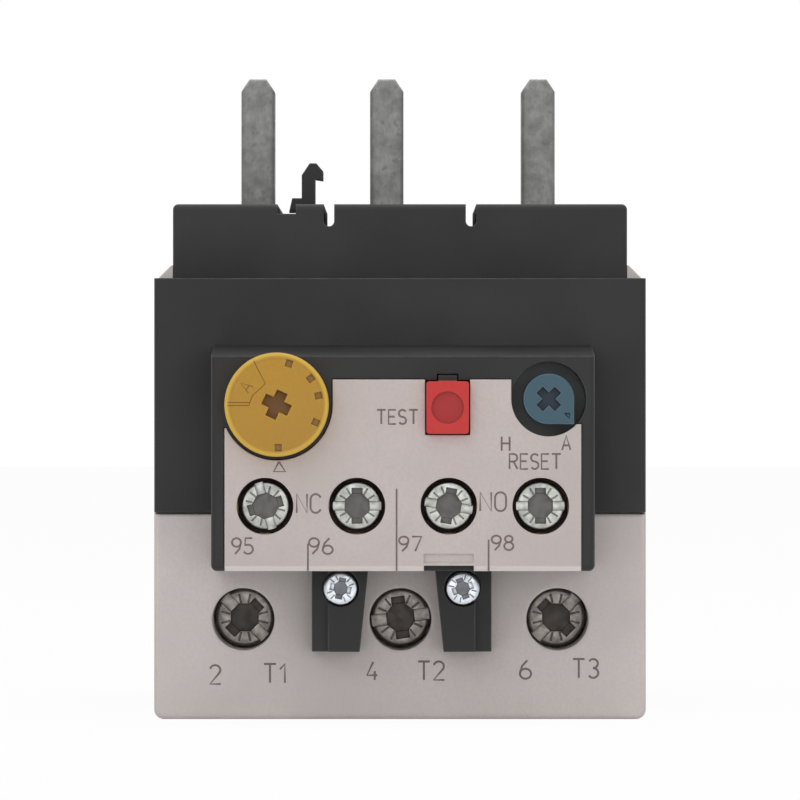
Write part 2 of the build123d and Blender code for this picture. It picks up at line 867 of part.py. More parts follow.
for pole, (x, x_bar, slot_angle) in enumerate(zip(blade_x, terminal_x, slot_angles), 1):
    # Flat blade that plugs into the contactor, with the foot that its heater is welded to
    with BuildPart() as contact_blade:
        half = blade_width / 2
        tip = blade_width / 4
        with BuildSketch(seen_from_front(blade_y + blade_depth / 2)):
            with BuildLine():
                Polyline(
                    (x - half, foot_z),
                    (x - half, blade_top - blade_tip),
                    (x - half + tip, blade_top),
                    (x + half - tip, blade_top),
                    (x + half, blade_top - blade_tip),
                    (x + half, foot_z),
                    close=True,
                )
            make_face()
        extrude(amount=blade_depth)
        fillet(contact_blade.edges().filter_by(Axis.Z), corner)
        block(
            (x - half, x + half),
            (foot_front, blade_y),
            (foot_z, foot_z + foot_height),
        )
    contact_blade.part.label = f"contact_blade_{pole}"
    export_step(contact_blade.part, f"parts/contact_blade_{pole}.step")

    # Bimetal strip, which bends to the right as its heater warms it
    with BuildPart() as bimetal_strip:
        with BuildSketch(Plane.XY.offset(carrier_bottom)):
            with Locations((x, strip_y)):
                Rectangle(strip_thickness, strip_width)
        extrude(amount=strip_top - carrier_bottom)
    bimetal_strip.part.label = f"bimetal_strip_{pole}"
    export_step(bimetal_strip.part, f"parts/bimetal_strip_{pole}.step")

    # Heater wound around the strip with room for it to bend
    with BuildPart() as heater_winding:
        with BuildLine():
            turns = Helix(coil_height / coil_turns, coil_height, coil_radius, (x, strip_y, coil_bottom))
        with BuildSketch(Plane(origin=turns @ 0, x_dir=(1, 0, 0), z_dir=turns % 0)):
            Rectangle(coil_wire, coil_wire)
        sweep(is_frenet=True)
    heater_winding.part.label = f"heater_winding_{pole}"
    export_step(heater_winding.part, f"parts/heater_winding_{pole}.step")

    # Load bar: from the heater forward and down into the clamp
    with BuildPart() as terminal_bar:
        bar_end = strip_y + coil_wire
        with BuildSketch(Plane.YZ.offset(x_bar - bar_width / 2)):
            with BuildLine():
                Polyline(
                    (bar_front, bar_bottom),
                    (bar_front, bar_top),
                    (bar_end, bar_top),
                    (bar_end, bar_top - bar_thickness),
                    (bar_back, bar_top - bar_thickness),
                    (bar_back, bar_bottom),
                    close=True,
                )
            make_face()
        extrude(amount=bar_width)
        block(
            spread(x, 2 * (coil_radius - coil_wire)),
            (strip_y - strip_width / 2 - loose, bar_end),
            (bar_top - bar_thickness, bar_top),
            Mode.SUBTRACT,
        )
    terminal_bar.part.label = f"terminal_bar_{pole}"
    export_step(terminal_bar.part, f"parts/terminal_bar_{pole}.step")

    # Clamp cage that the screw draws forward to grip the wire
    with BuildPart() as clamp_cage:
        with BuildSketch(Plane.XY.offset(terminal_z - cage_height / 2)):
            with Locations((x_bar, cage_open + cage_length / 2)):
                RectangleRounded(cage_width, cage_length, corner)
            with Locations((x_bar, cage_open + (cage_front + cage_length - cage_back) / 2)):
                Rectangle(cage_inner_width, cage_length - cage_front - cage_back, mode=Mode.SUBTRACT)
        extrude(amount=cage_height)
        thread = (cage_open, cage_open + cage_front)
        rod(x_bar, terminal_z, screw_shank_radius + running, thread, Mode.SUBTRACT)
    clamp_cage.part.label = f"clamp_cage_{pole}"
    export_step(clamp_cage.part, f"parts/clamp_cage_{pole}.step")

    # Terminal screw: a slotted and crossed head low in its well
    with BuildPart() as terminal_screw:
        rod(x_bar, terminal_z, screw_head_radius, (head_front, head_back))
        fillet(terminal_screw.faces().sort_by(Axis.Y)[0].edges(), corner)
        rod(x_bar, terminal_z, screw_shank_radius, (head_back, bar_front - part_line))
        with Locations(Location((x_bar, head_front + screw_slot_depth / 2, terminal_z), (0, -slot_angle, 0))):
            Box(2 * screw_head_radius, screw_slot_depth, screw_slot_width, mode=Mode.SUBTRACT)
        cross_recess(
            x_bar, terminal_z, screw_cross_reach, screw_cross_width,
            head_front, 2 * screw_slot_depth, -slot_angle,
        )
    terminal_screw.part.label = f"terminal_screw_{pole}"
    export_step(terminal_screw.part, f"parts/terminal_screw_{pole}.step")

# Two trip slides, one in front of the strips and one behind them
slide_length = body_width - 2 * wall - 2 * trip_travel - 2 * loose
slide_middle = -trip_travel / 2
pin_x = strip_pivot_x - compensation_thickness / 2 - loose - lever_thickness / 2
slide_names = {"trip_slide_front": -1, "trip_slide_rear": 1}
for slide_name, side in slide_names.items():
    slide_y = strip_y + side * (lever_gap + slide_depth / 2)
    with BuildPart() as trip_slide:
        with BuildSketch(Plane.XY.offset(slide_z)):
            with Locations((slide_middle, slide_y)):
                RectangleRounded(slide_length, slide_depth, corner)
            with Locations(*[(x, strip_y) for x in blade_x]):
                Rectangle(strip_thickness + 2 * loose, strip_width + 2 * loose, mode=Mode.SUBTRACT)
        extrude(amount=slide_thickness)
        with BuildSketch(Plane.XY.offset(slide_z + slide_thickness)):
            with Locations((pin_x, slide_y + side * corner)):
                Circle(lever_pin_radius / 2)
        extrude(amount=rear_arm_z + rear_arm_height - slide_z - slide_thickness)
    trip_slide.part.label = slide_name
    export_step(trip_slide.part, f"parts/{slide_name}.step")

# Differential lever that joins the two slides and reaches forward to the compensation strip
with BuildPart() as differential_lever:
    lever_back = strip_y + lever_gap + slide_depth / 2 + corner + lever_pin_radius
    with BuildSketch(Plane.XY.offset(rear_arm_z)):
        with Locations((pin_x, (push_sides[0] + lever_back) / 2)):
            RectangleRounded(lever_thickness, lever_back - push_sides[0], corner)
        with Locations(*[
            (pin_x, strip_y + side * (lever_gap + slide_depth / 2 + corner)) for side in (-1, 1)
        ]):
            Circle(lever_pin_radius / 2 + running, mode=Mode.SUBTRACT)
    extrude(amount=rear_arm_height)
differential_lever.part.label = "differential_lever"
export_step(differential_lever.part, "parts/differential_lever.step")

# Ambient compensation strip, hung on the setting lever's pin
with BuildPart() as compensation_strip:
    block(
        spread(strip_pivot_x, compensation_thickness),
        push_sides,
        (strip_pivot_z, rear_arm_z + rear_arm_height),
    )
    rod(strip_pivot_x, strip_pivot_z, eye_radius, push_sides)
    rod(strip_pivot_x, strip_pivot_z, eye_pin_radius + running, push_sides, Mode.SUBTRACT)
compensation_strip.part.label = "compensation_strip"
export_step(compensation_strip.part, "parts/compensation_strip.step")

# Setting lever: its arm rides on the dial's cam and shifts the compensation strip
cam_front = cover_front + cam_setback
cam_y = (cam_front, cam_front + cam_thickness)
holder_back = push_sides[0] - sliding
holder_front = holder_back - lever_thickness
follower_left = dial_x + cam_radius + sliding
with BuildPart() as setting_lever:
    rod(setting_pivot_x, setting_pivot_z, setting_hub_radius, (cam_front, holder_back))
    block(
        (follower_left, follower_left + lever_thickness),
        cam_y,
        (setting_pivot_z, dial_z + lever_thickness),
    )
    block(
        (setting_pivot_x, strip_pivot_x + eye_radius),
        (holder_front, holder_back),
        (setting_pivot_z - eye_pin_radius, strip_pivot_z + eye_radius),
    )
    rod(strip_pivot_x, strip_pivot_z, eye_pin_radius, (holder_front, push_sides[1]))
    bore = (cam_front, holder_back)
    rod(setting_pivot_x, setting_pivot_z, setting_post_radius + running, bore, Mode.SUBTRACT)
setting_lever.part.label = "setting_lever"
export_step(setting_lever.part, "parts/setting_lever.step")

# Spiral cam on the dial's shaft: its radius grows as much as the follower moves
cam_growth = (dial_z - setting_pivot_z) * radians(setting_turn)
with BuildPart() as dial_cam:
    spiral = []
    for step in range(cam_steps + 1):
        angle = radians(dial_travel) * step / cam_steps
        radius = cam_radius + cam_growth * step / cam_steps
        spiral.append((dial_x + radius * cos(angle), dial_z + radius * sin(angle)))
    with BuildSketch(seen_from_front(cam_y[1])):
        with BuildLine():
            edge = Spline(*spiral)
            middle = radians((dial_travel + 360) / 2)
            low = (dial_x + cam_radius * cos(middle), dial_z + cam_radius * sin(middle))
            ThreePointArc(edge @ 1, low, edge @ 0)
        make_face()
        with Locations((dial_x, dial_z)):
            Circle(dial_shaft_radius + running / 2, mode=Mode.SUBTRACT)
    extrude(amount=cam_thickness)
dial_cam.part.label = "dial_cam"
export_step(dial_cam.part, "parts/dial_cam.step")

# Current dial with its shaft, crossed recess and setting marks
with BuildPart() as current_dial:
    rod(dial_x, dial_z, dial_radius, (dial_front, module_face - sliding))
    fillet(current_dial.faces().sort_by(Axis.Y)[0].edges(), corner / 2)
    rod(dial_x, dial_z, dial_shaft_radius, (module_face - sliding, cam_y[1]))
    cross_recess(
        dial_x, dial_z, dial_cross_reach, dial_cross_width,
        dial_front, dial_cross_depth, dial_cross_turn,
    )
    for angle in dial_mark_angles:
        turn = radians(angle)
        mark_x = dial_x + dial_mark_radius * sin(turn)
        mark_z = dial_z + dial_mark_radius * cos(turn)
        with Locations(Location((mark_x, dial_front + dial_mark_depth / 2, mark_z), (0, angle, 0))):
            Box(dial_mark_size, dial_mark_depth, dial_mark_size, mode=Mode.SUBTRACT)
current_dial.part.label = "current_dial"
export_step(current_dial.part, "parts/current_dial.step")

# Trip lever: turns on an upright pin, opens one contact pair and closes the other
with BuildPart() as trip_lever:
    with Locations((lever_x, lever_y, (pivot_bottom + rear_arm_z + rear_arm_height) / 2)):
        Cylinder(lever_hub_radius, rear_arm_z + rear_arm_height - pivot_bottom)
        Cylinder(lever_pin_radius, ear_top - ear_levels[0][0])
    lever_ends = (nc_x - aux_leg_width / 2, reset_x + stem_radius / 2)
    with BuildSketch(Plane.XY.offset(lever_z)):
        with Locations((sum(lever_ends) / 2, lever_y)):
            SlotOverall(lever_ends[1] - lever_ends[0], lever_thickness)
    extrude(amount=lever_height)
    with BuildSketch(Plane.XY.offset(rear_arm_z)):
        with Locations((lever_x, (lever_y + push_sides[1]) / 2)):
            SlotOverall(push_sides[1] - lever_y, lever_thickness, rotation=90)
    extrude(amount=rear_arm_height)
trip_lever.part.label = "trip_lever"
export_step(trip_lever.part, "parts/trip_lever.step")

# Moving contacts: a bridge between two legs, with a tab that the trip lever pushes
bridges = (
    ("nc_moving_contact", aux_x[0], aux_x[1], nc_bridge_front),
    ("no_moving_contact", aux_x[2], aux_x[3], no_bridge_back - aux_leg_thickness),
)
for bridge_name, left, right, bridge_front in bridges:
    with BuildPart() as moving_contact:
        with BuildSketch(seen_from_front(bridge_front + aux_leg_thickness)):
            with Locations(((left + right) / 2, aux_leg_top - aux_leg_width / 2)):
                RectangleRounded(right - left + aux_leg_width, aux_leg_width, corner)
            with Locations(((left + right) / 2, (aux_leg_top - corner + lever_top) / 2)):
                Rectangle(aux_leg_width, lever_top - aux_leg_top + corner)
        extrude(amount=aux_leg_thickness)
    moving_contact.part.label = bridge_name
    export_step(moving_contact.part, f"parts/{bridge_name}.step")

# Auxiliary terminals: plate with its fixed contact leg, clamp and screw
legs = [nc_leg_back, nc_leg_back, no_leg_back, no_leg_back]
for x, number, leg_back, slot_angle in zip(aux_x, aux_names, legs, aux_slot_angles):
    with BuildPart() as aux_plate:
        with BuildSketch(seen_from_front(aux_plate_back)):
            with Locations((x, (aux_plate_bottom + aux_ledge_z) / 2)):
                Rectangle(aux_plate_width, aux_ledge_z - aux_plate_bottom)
            with Locations((x, aux_z)):
                Circle(aux_shank_radius + running, mode=Mode.SUBTRACT)
        extrude(amount=aux_plate_thickness)
        with BuildSketch(Plane.YZ.offset(x - aux_leg_width / 2)):
            with BuildLine():
                Polyline(
                    (aux_plate_back, aux_ledge_z - aux_leg_thickness),
                    (leg_back, aux_ledge_z - aux_leg_thickness),
                    (leg_back, aux_leg_top),
                    (leg_back - aux_leg_thickness, aux_leg_top),
                    (leg_back - aux_leg_thickness, aux_ledge_z),
                    (aux_plate_back, aux_ledge_z),
                    close=True,
                )
            make_face()
        extrude(amount=aux_leg_width)
    aux_plate.part.label = f"aux_plate_{number}"
    export_step(aux_plate.part, f"parts/aux_plate_{number}.step")

    with BuildPart() as aux_clamp:
        with BuildSketch(seen_from_front(aux_head_back + aux_washer_thickness)):
            with Locations((x, aux_z)):
                RectangleRounded(aux_washer_width, aux_washer_width, corner)
                Circle(aux_shank_radius + running, mode=Mode.SUBTRACT)
        extrude(amount=aux_washer_thickness - running)
    aux_clamp.part.label = f"aux_clamp_{number}"
    export_step(aux_clamp.part, f"parts/aux_clamp_{number}.step")

    with BuildPart() as aux_screw:
        rod(x, aux_z, aux_head_radius, (aux_head_front, aux_head_back))
        fillet(aux_screw.faces().sort_by(Axis.Y)[0].edges(), corner)
        rod(x, aux_z, aux_shank_radius, (aux_head_back, aux_head_back + aux_shank_length))
        with Locations(Location((x, aux_head_front + aux_slot_depth / 2, aux_z), (0, -slot_angle, 0))):
            Box(2 * aux_head_radius, aux_slot_depth, aux_slot_width, mode=Mode.SUBTRACT)
        cross_recess(
            x, aux_z, aux_cross_reach, aux_slot_width,
            aux_head_front, aux_cross_depth, -slot_angle,
        )
    aux_screw.part.label = f"aux_screw_{number}"
    export_step(aux_screw.part, f"parts/aux_screw_{number}.step")

# Test button: red cap, guide flange, stem and the arm that reaches the trip lever
with BuildPart() as test_button:
    with BuildSketch(seen_from_front(test_flange_back)):
        with Locations((test_x, test_z)):
            RectangleRounded(test_width, test_height, corner / 2)
        with Locations((test_x, test_z + (test_height + nib_height) / 2 - corner)):
            Rectangle(nib_width, nib_height + 2 * corner)
    extrude(amount=test_flange_back - test_front)
    block(
        spread(test_x, test_width + 2 * flange_reach),
        (guide_back + sliding, test_flange_back),
        spread(test_z, test_height),
    )
    rod(test_x, test_z, stem_radius, (test_flange_back, test_tip))
    block(
        (test_x - test_arm_reach, test_x + stem_radius),
        (test_tip - test_arm_thickness, test_tip),
        spread(test_z, lever_height - 2 * part_line),
    )
    rod(test_x, test_z, test_dimple_radius, (test_front, test_front + test_dimple_depth), Mode.SUBTRACT)
    block(
        spread(test_x, nib_width + part_line),
        (test_front, module_front + sliding),
        (test_z + test_height / 2, test_z + test_height),
        Mode.SUBTRACT,
    )
test_button.part.label = "test_button"
export_step(test_button.part, "parts/test_button.step")

# Reset button: drop-shaped cap on a stem, kept by the collar behind the sleeve
with BuildPart() as reset_button:
    with BuildSketch(seen_from_front(reset_head_back)):
        with Locations((reset_x, reset_z)):
            Circle(reset_radius)
        with Locations((reset_x + reset_radius / 2, reset_z - reset_radius / 2)):
            Rectangle(reset_radius, reset_radius)
    extrude(amount=reset_head)
    rod(reset_x, reset_z, stem_radius, (reset_head_back, reset_tip))
    collar_front = sleeve_back + part_line
    rod(reset_x, reset_z, collar_radius, (collar_front, collar_front + corner))
    cross_recess(
        reset_x, reset_z, reset_cross_reach, reset_cross_width,
        reset_front, reset_cross_depth, 45,
    )
reset_button.part.label = "reset_button"
export_step(reset_button.part, "parts/reset_button.step")

# Sleeve that turns in the module and lets the reset button slide through it
with BuildPart() as reset_sleeve:
    rod(reset_x, reset_z, sleeve_radius, (sleeve_front, sleeve_back))
    flange_front = well_floor_back + part_line
    rod(reset_x, reset_z, sleeve_radius + corner, (flange_front, flange_front + corner))
    spring_room = (sleeve_front, sleeve_back - sleeve_floor)
    rod(reset_x, reset_z, sleeve_radius - sleeve_skin, spring_room, Mode.SUBTRACT)
    rod(reset_x, reset_z, stem_radius + running, (sleeve_front, sleeve_back), Mode.SUBTRACT)
reset_sleeve.part.label = "reset_sleeve"
export_step(reset_sleeve.part, "parts/reset_sleeve.step")

# Return springs of the two buttons
spring_radius = stem_radius + running + stem_room
springs = (
    ("reset_spring", reset_x, reset_z, reset_head_back, spring_room[1]),
    ("test_spring", test_x, test_z, test_flange_back, chassis_front),
)
for spring_name, x, z, front, rear in springs:
    with BuildPart() as return_spring:
        length = rear - front - spring_wire - 2 * part_line
        start = front + spring_wire / 2 + part_line
        with BuildLine():
            turns = Helix(length / spring_turns, length, spring_radius, (x, start, z), (0, 1, 0))
        with BuildSketch(Plane(origin=turns @ 0, x_dir=(0, 1, 0), z_dir=turns % 0)):
            Rectangle(spring_wire, spring_wire)
        sweep(is_frenet=True)
    return_spring.part.label = spring_name
    export_step(return_spring.part, f"parts/{spring_name}.step")

# Latch hook that snaps into the contactor, on a round root in the block's roof
with BuildPart() as latch_hook:
    left = hook_x - hook_stem / 2
    right = hook_x + hook_stem / 2
    hook_top = block_top + hook_height
    with BuildSketch(seen_from_front(hook_y + hook_width / 2)):
        with BuildLine():
            Polyline(
                (right, hook_root_z),
                (right, hook_top - barb_height),
                (right + barb_reach, hook_top - barb_height - barb_rake),
                (right + barb_reach, hook_top - barb_reach),
                (right + barb_rake, hook_top),
                (left + barb_reach, hook_top),
                (left, hook_top - barb_height + barb_reach / 2),
                (left, block_top + hook_foot_top),
                (left - hook_foot_top, block_top + hook_foot_top),
                (left - hook_foot_reach, notch_floor + hook_foot_gap),
                (left, notch_floor + hook_foot_gap),
                (left, hook_root_z),
                close=True,
            )
        make_face()
        with Locations((hook_x, hook_root_z)):
            Circle(hook_root_radius)
    extrude(amount=hook_width)
latch_hook.part.label = "latch_hook"
export_step(latch_hook.part, "parts/latch_hook.step")

# Values that the joints and mounts are written from
print("strips", carrier_top, slide_z + slide_thickness / 2, "turns", dial_travel, reset_turn)
print("lever pin", lever_x, lever_y, "setting", setting_pivot_x, setting_pivot_z, cam_front)
print("compensation pivot", strip_pivot_x, strip_pivot_z, push_y, push_z)
print("contacts", nc_travel, no_travel, "cage", cage_open, cage_length, bar_front, bar_back)
print("hook", hook_x, hook_root_z, hook_y, hook_flex, "blades", blade_y, blade_top)
print("cam", degrees(cam_growth / cam_radius), "pitch", screw_pitch / (2 * pi), aux_thread_pitch / (2 * pi))
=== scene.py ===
# %% [markdown]
# # A thermal overload relay, dressed around its rigid model
# The rigid model holds every piece of the relay at its real size. This lesson gives those pieces
# their finishes and adds what is too fine for it: printed marks, engraved lines and the recesses
# of the screw heads. All lengths are in metres, so a value in millimetres is written as 3 * mm.

import json
import math

import bpy
from mathutils import Matrix, Vector


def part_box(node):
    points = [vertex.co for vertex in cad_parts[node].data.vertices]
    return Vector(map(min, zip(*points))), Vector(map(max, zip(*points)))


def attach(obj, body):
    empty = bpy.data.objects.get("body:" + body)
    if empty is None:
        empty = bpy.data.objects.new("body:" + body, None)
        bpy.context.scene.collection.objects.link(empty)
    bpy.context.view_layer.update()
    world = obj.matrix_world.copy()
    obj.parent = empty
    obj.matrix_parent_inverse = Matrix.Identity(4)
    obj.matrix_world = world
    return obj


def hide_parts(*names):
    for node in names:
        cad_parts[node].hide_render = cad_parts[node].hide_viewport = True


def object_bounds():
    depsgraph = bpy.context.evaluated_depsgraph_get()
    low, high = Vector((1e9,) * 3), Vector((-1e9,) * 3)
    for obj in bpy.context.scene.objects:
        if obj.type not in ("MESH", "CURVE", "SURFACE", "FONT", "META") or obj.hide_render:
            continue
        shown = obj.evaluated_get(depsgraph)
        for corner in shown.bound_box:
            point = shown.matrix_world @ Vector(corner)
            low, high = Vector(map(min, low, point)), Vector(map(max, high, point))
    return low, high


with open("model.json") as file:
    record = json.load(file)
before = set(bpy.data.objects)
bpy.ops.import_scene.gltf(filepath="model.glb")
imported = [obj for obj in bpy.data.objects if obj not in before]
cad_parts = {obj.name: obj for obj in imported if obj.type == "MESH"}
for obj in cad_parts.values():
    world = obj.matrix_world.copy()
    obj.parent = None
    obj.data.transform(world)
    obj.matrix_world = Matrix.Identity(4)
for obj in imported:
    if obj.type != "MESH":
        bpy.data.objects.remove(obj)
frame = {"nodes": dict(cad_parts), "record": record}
cad_box = [list(corner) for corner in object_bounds()]
nodes = frame["nodes"]
mm = 0.001
slot_of = {row["node"]: row["material_slot"] for row in frame["record"]["subparts"]}
body_of = {node: body for body, names in frame["record"]["behaviour"]["bodies"].items() for node in names}

# %% [markdown]
# ## Sums that read as sums
# A finish is a net of small nodes. Written out one by one they hide the idea, so one class wraps a
# socket and turns +, -, * and / into Math nodes. A second class owns the tree and adds any other
# node from its type, its settings and the values of its sockets.

# %% Wrapped sockets and node trees


def operator(operation, swapped=False):
    """A Python operator that adds a Math node."""

    def apply(self, other):
        pair = (other, self) if swapped else (self, other)
        return self.net.node("ShaderNodeMath", {"operation": operation}, {0: pair[0], 1: pair[1]})

    return apply


class Value:
    """A socket in a node tree that can be added to, taken from and multiplied."""

    __add__ = operator("ADD")
    __radd__ = operator("ADD", swapped=True)
    __sub__ = operator("SUBTRACT")
    __rsub__ = operator("SUBTRACT", swapped=True)
    __mul__ = operator("MULTIPLY")
    __rmul__ = operator("MULTIPLY", swapped=True)
    __truediv__ = operator("DIVIDE")
    __rtruediv__ = operator("DIVIDE", swapped=True)

    def __init__(self, net, socket):
        self.net = net
        self.socket = socket


class Net:
    """A node tree with one way to add a node."""

    def __init__(self, tree):
        self.tree = tree

    def node(self, kind, settings=None, sockets=None, out=0):
        made = self.tree.nodes.new(kind)
        for name, value in (settings or {}).items():
            setattr(made, name, value)
        for name, value in (sockets or {}).items():
            for single in value if isinstance(value, list) else [value]:
                self.feed(made.inputs[name], single)
        return Value(self, made.outputs[out])

    def feed(self, socket, value):
        if isinstance(value, Value):
            self.tree.links.new(value.socket, socket)
        else:
            socket.default_value = value


class Finish(Net):
    """A material: one shader and the net that feeds it."""

    def __init__(self, name, **fixed):
        self.material = bpy.data.materials.new(name)
        self.material.use_nodes = True
        super().__init__(self.material.node_tree)
        self.tree.nodes.clear()
        self.shader = self.tree.nodes.new("ShaderNodeBsdfPrincipled")
        output = self.tree.nodes.new("ShaderNodeOutputMaterial")
        self.tree.links.new(self.shader.outputs[0], output.inputs["Surface"])
        for socket, value in fixed.items():
            self.shader.inputs[socket.replace("_", " ")].default_value = value
        self.place = self.node("ShaderNodeTexCoord", out="Object")

    def mix(self, share, first, second, blend="MIX"):
        settings = {"data_type": "RGBA", "blend_type": blend}
        return self.node("ShaderNodeMix", settings, {0: share, 6: first, 7: second}, out=2)

    def noise(self, size, detail=2.0, place=None, roughness=0.5):
        """Soft random spots, each about size across."""
        sockets = {"Vector": place or self.place, "Scale": 1 / size, "Detail": detail, "Roughness": roughness}
        return self.node("ShaderNodeTexNoise", sockets=sockets)

    def stretched(self, x, y, z):
        """Object coordinates, drawn out along an axis by a factor below 1."""
        return self.node("ShaderNodeMapping", sockets={"Vector": self.place, "Scale": (x, y, z)})

    def window(self, value, low, high):
        """0 below low, 1 above high and a straight rise between them."""
        sockets = {"Value": value, "From Min": low, "From Max": high}
        return self.node("ShaderNodeMapRange", {"clamp": True}, sockets)

    def relief(self, height, depth, strength=1.0, under=None):
        """A bump of the given depth in metres."""
        sockets = {"Height": height, "Distance": depth, "Strength": strength}
        if under:
            sockets["Normal"] = under
        return self.node("ShaderNodeBump", sockets=sockets)

    def along(self, axis):
        """The coordinate along one axis."""
        return self.node("ShaderNodeSeparateXYZ", sockets={"Vector": self.place}, out=axis)

    def below(self, face, start, end):
        """0 at a face that looks to the front, and 1 where the plastic lies deeper than that."""
        return self.window(self.along("Y") - face, start, end)

    def vector(self, operation, first, second, out="Vector"):
        """One step of vector maths."""
        return self.node("ShaderNodeVectorMath", {"operation": operation}, {0: first, 1: second}, out)

    def from_axis(self, x, z):
        """Distance from an axis along Y."""
        flat = self.vector("MULTIPLY", self.place, (1, 0, 1))
        return self.vector("DISTANCE", flat, (x, 0, z), "Value")

    def edges(self, radius):
        """A softened normal, and a mask that is 1 on edges and 0 on flats."""
        soft = self.node("ShaderNodeBevel", {"samples": 6}, {"Radius": radius})
        straight = self.node("ShaderNodeNewGeometry", out="Normal")
        alike = self.vector("DOT_PRODUCT", soft, straight, "Value")
        return soft, self.window(1 - alike, 0.01, 0.22)

    def wear(self, **feeds):
        for socket, value in feeds.items():
            self.feed(self.shader.inputs[socket.replace("_", " ")], value)
        return self.material


def paint(red, green, blue):
    """A colour as seen on a screen, 0 to 255, as Blender's linear colour."""
    linear = []
    for part in (red, green, blue):
        share = part / 255
        linear.append(share / 12.92 if share <= 0.04045 else ((share + 0.055) / 1.055) ** 2.4)
    return (*linear, 1.0)


def shade(colour, factor):
    """The same colour, lighter or darker."""
    return (*(min(1.0, part * factor) for part in colour[:3]), 1.0)


print("a mid grey is", paint(128, 128, 128)[0])

# %% [markdown]
# ## Camera
# The photograph looks straight at the front from about 0.8 m, a little above the dial's height.
# A long lens keeps its flat look: the front plane shows 8.2 pixels to the millimetre.

# %% Camera
front_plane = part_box("terminal_cover")[0].y
camera_distance = 800 * mm
eye_height = 38.94 * mm
pixels_per_metre = 8200
picture_width = 800

camera = bpy.data.objects.new("camera", bpy.data.cameras.new("camera"))
bpy.context.scene.collection.objects.link(camera)
camera.location = (0, front_plane - camera_distance, eye_height)
camera.rotation_euler = (math.radians(90), 0, 0)
camera.data.sensor_width = 36
camera.data.lens = 36 * pixels_per_metre * camera_distance / picture_width
camera.data.clip_start = 0.01
bpy.context.scene.camera = camera
print("lens", round(camera.data.lens, 1), "mm")

# %% [markdown]
# ## Studio
# The world lights the relay evenly, and a broad soft lamp from the upper left gives the dial and the
# wells their shade. Three weaker lamps lift the tops, the right side and the depth of the wells.
# Rays from the camera and reflections see a white room at strength 1.

# %% World and lamps
scene = bpy.context.scene
scene.view_settings.view_transform = "Standard"
ambient = 0.48
white = (1, 1, 1, 1)


def white_for_the_eye(net, seen_otherwise):
    """The given strength for light, and 1 for the camera, reflections and glass."""
    path = net.node("ShaderNodeLightPath", out="Is Camera Ray").socket.node
    seen, mirrored, through = (
        Value(net, path.outputs[f"Is {kind} Ray"]) for kind in ("Camera", "Glossy", "Transmission")
    )
    clamped_sum = {"operation": "ADD", "use_clamp": True}
    looking = net.node("ShaderNodeMath", clamped_sum, {0: seen + mirrored, 1: through})
    return seen_otherwise + looking * (1 - seen_otherwise)


world = bpy.data.worlds.new("white room")
scene.world = world
world.use_nodes = True
room = Net(world.node_tree)
background = world.node_tree.nodes["Background"]
room.feed(background.inputs["Color"], white)
room.feed(background.inputs["Strength"], white_for_the_eye(room, ambient))


def lamp(name, place, target, size, power):
    """A square soft lamp that faces a target."""
    light = bpy.data.lights.new(name, "AREA")
    light.shape = "SQUARE"
    light.size = size
    light.energy = power
    holder = bpy.data.objects.new(name, light)
    holder.location = place
    holder.rotation_euler = (Vector(target) - Vector(place)).to_track_quat("-Z", "Y").to_euler()
    scene.collection.objects.link(holder)


middle = (Vector(cad_box[0]) + Vector(cad_box[1])) / 2
# each lamp: its place and its size in metres, and its power in watts
lamps = {
    "key": ((-0.40, -0.80, 0.75), 0.80, 2.4),
    "top": ((0.10, 0.05, 0.90), 0.50, 2.0),
    "fill": ((0.50, -0.90, 0.10), 0.60, 0.9),
    "front": ((0.02, -0.95, 0.03), 0.50, 1.0),
}
for name, (place, size, power) in lamps.items():
    lamp(name, place, middle, size, power)
print("ambient", ambient, "and", len(lamps), "lamps")

# %% [markdown]
# The floor is pale and keeps the relay's shadow: it is part diffuse, and part white for the eye.

# %% Floor
floor_mesh = bpy.data.meshes.new("floor")
reach = 3.0
floor_corners = [(-reach, -reach, 0), (reach, -reach, 0), (reach, reach, 0), (-reach, reach, 0)]
floor_mesh.from_pydata(floor_corners, [], [(0, 1, 2, 3)])
floor = bpy.data.objects.new("floor", floor_mesh)
scene.collection.objects.link(floor)
white_share = 0.95
floor_finish = Finish("pale_floor", Base_Color=paint(250, 250, 250), Roughness=0.9)
lit = Value(floor_finish, floor_finish.shader.outputs[0])
plain_white = floor_finish.node("ShaderNodeEmission", sockets={"Color": white, "Strength": 1.0})
share = white_for_the_eye(floor_finish, 0.0) * white_share
blend = floor_finish.node("ShaderNodeMixShader", sockets={0: share, 1: lit, 2: plain_white})
floor_finish.feed(floor_finish.tree.nodes["Material Output"].inputs["Surface"], blend)
floor_mesh.materials.append(floor_finish.material)
print("floor", 2 * reach, "m across")

# %% [markdown]
# ## Moulded plastic
# Housings are moulded in spark-eroded tools, which leaves a fine matt grain. The plastic flows in
# faint clouds, and edges are paler: partly rubbed by hands and screwdrivers, and partly a painted
# highlight where a rounded edge would catch the light. One function makes all of these, because the
# real colours share one process: only pigment and gloss differ. What one piece has of its own, such
# as the brown marks in the dial and the painted shade in its cross, comes from a small dress function
# that looks at where a point lies on the piece.

# %% Moulded finishes
cloud_size = 14 * mm
scuff_size = 1.4 * mm
grain_depth = 0.012 * mm


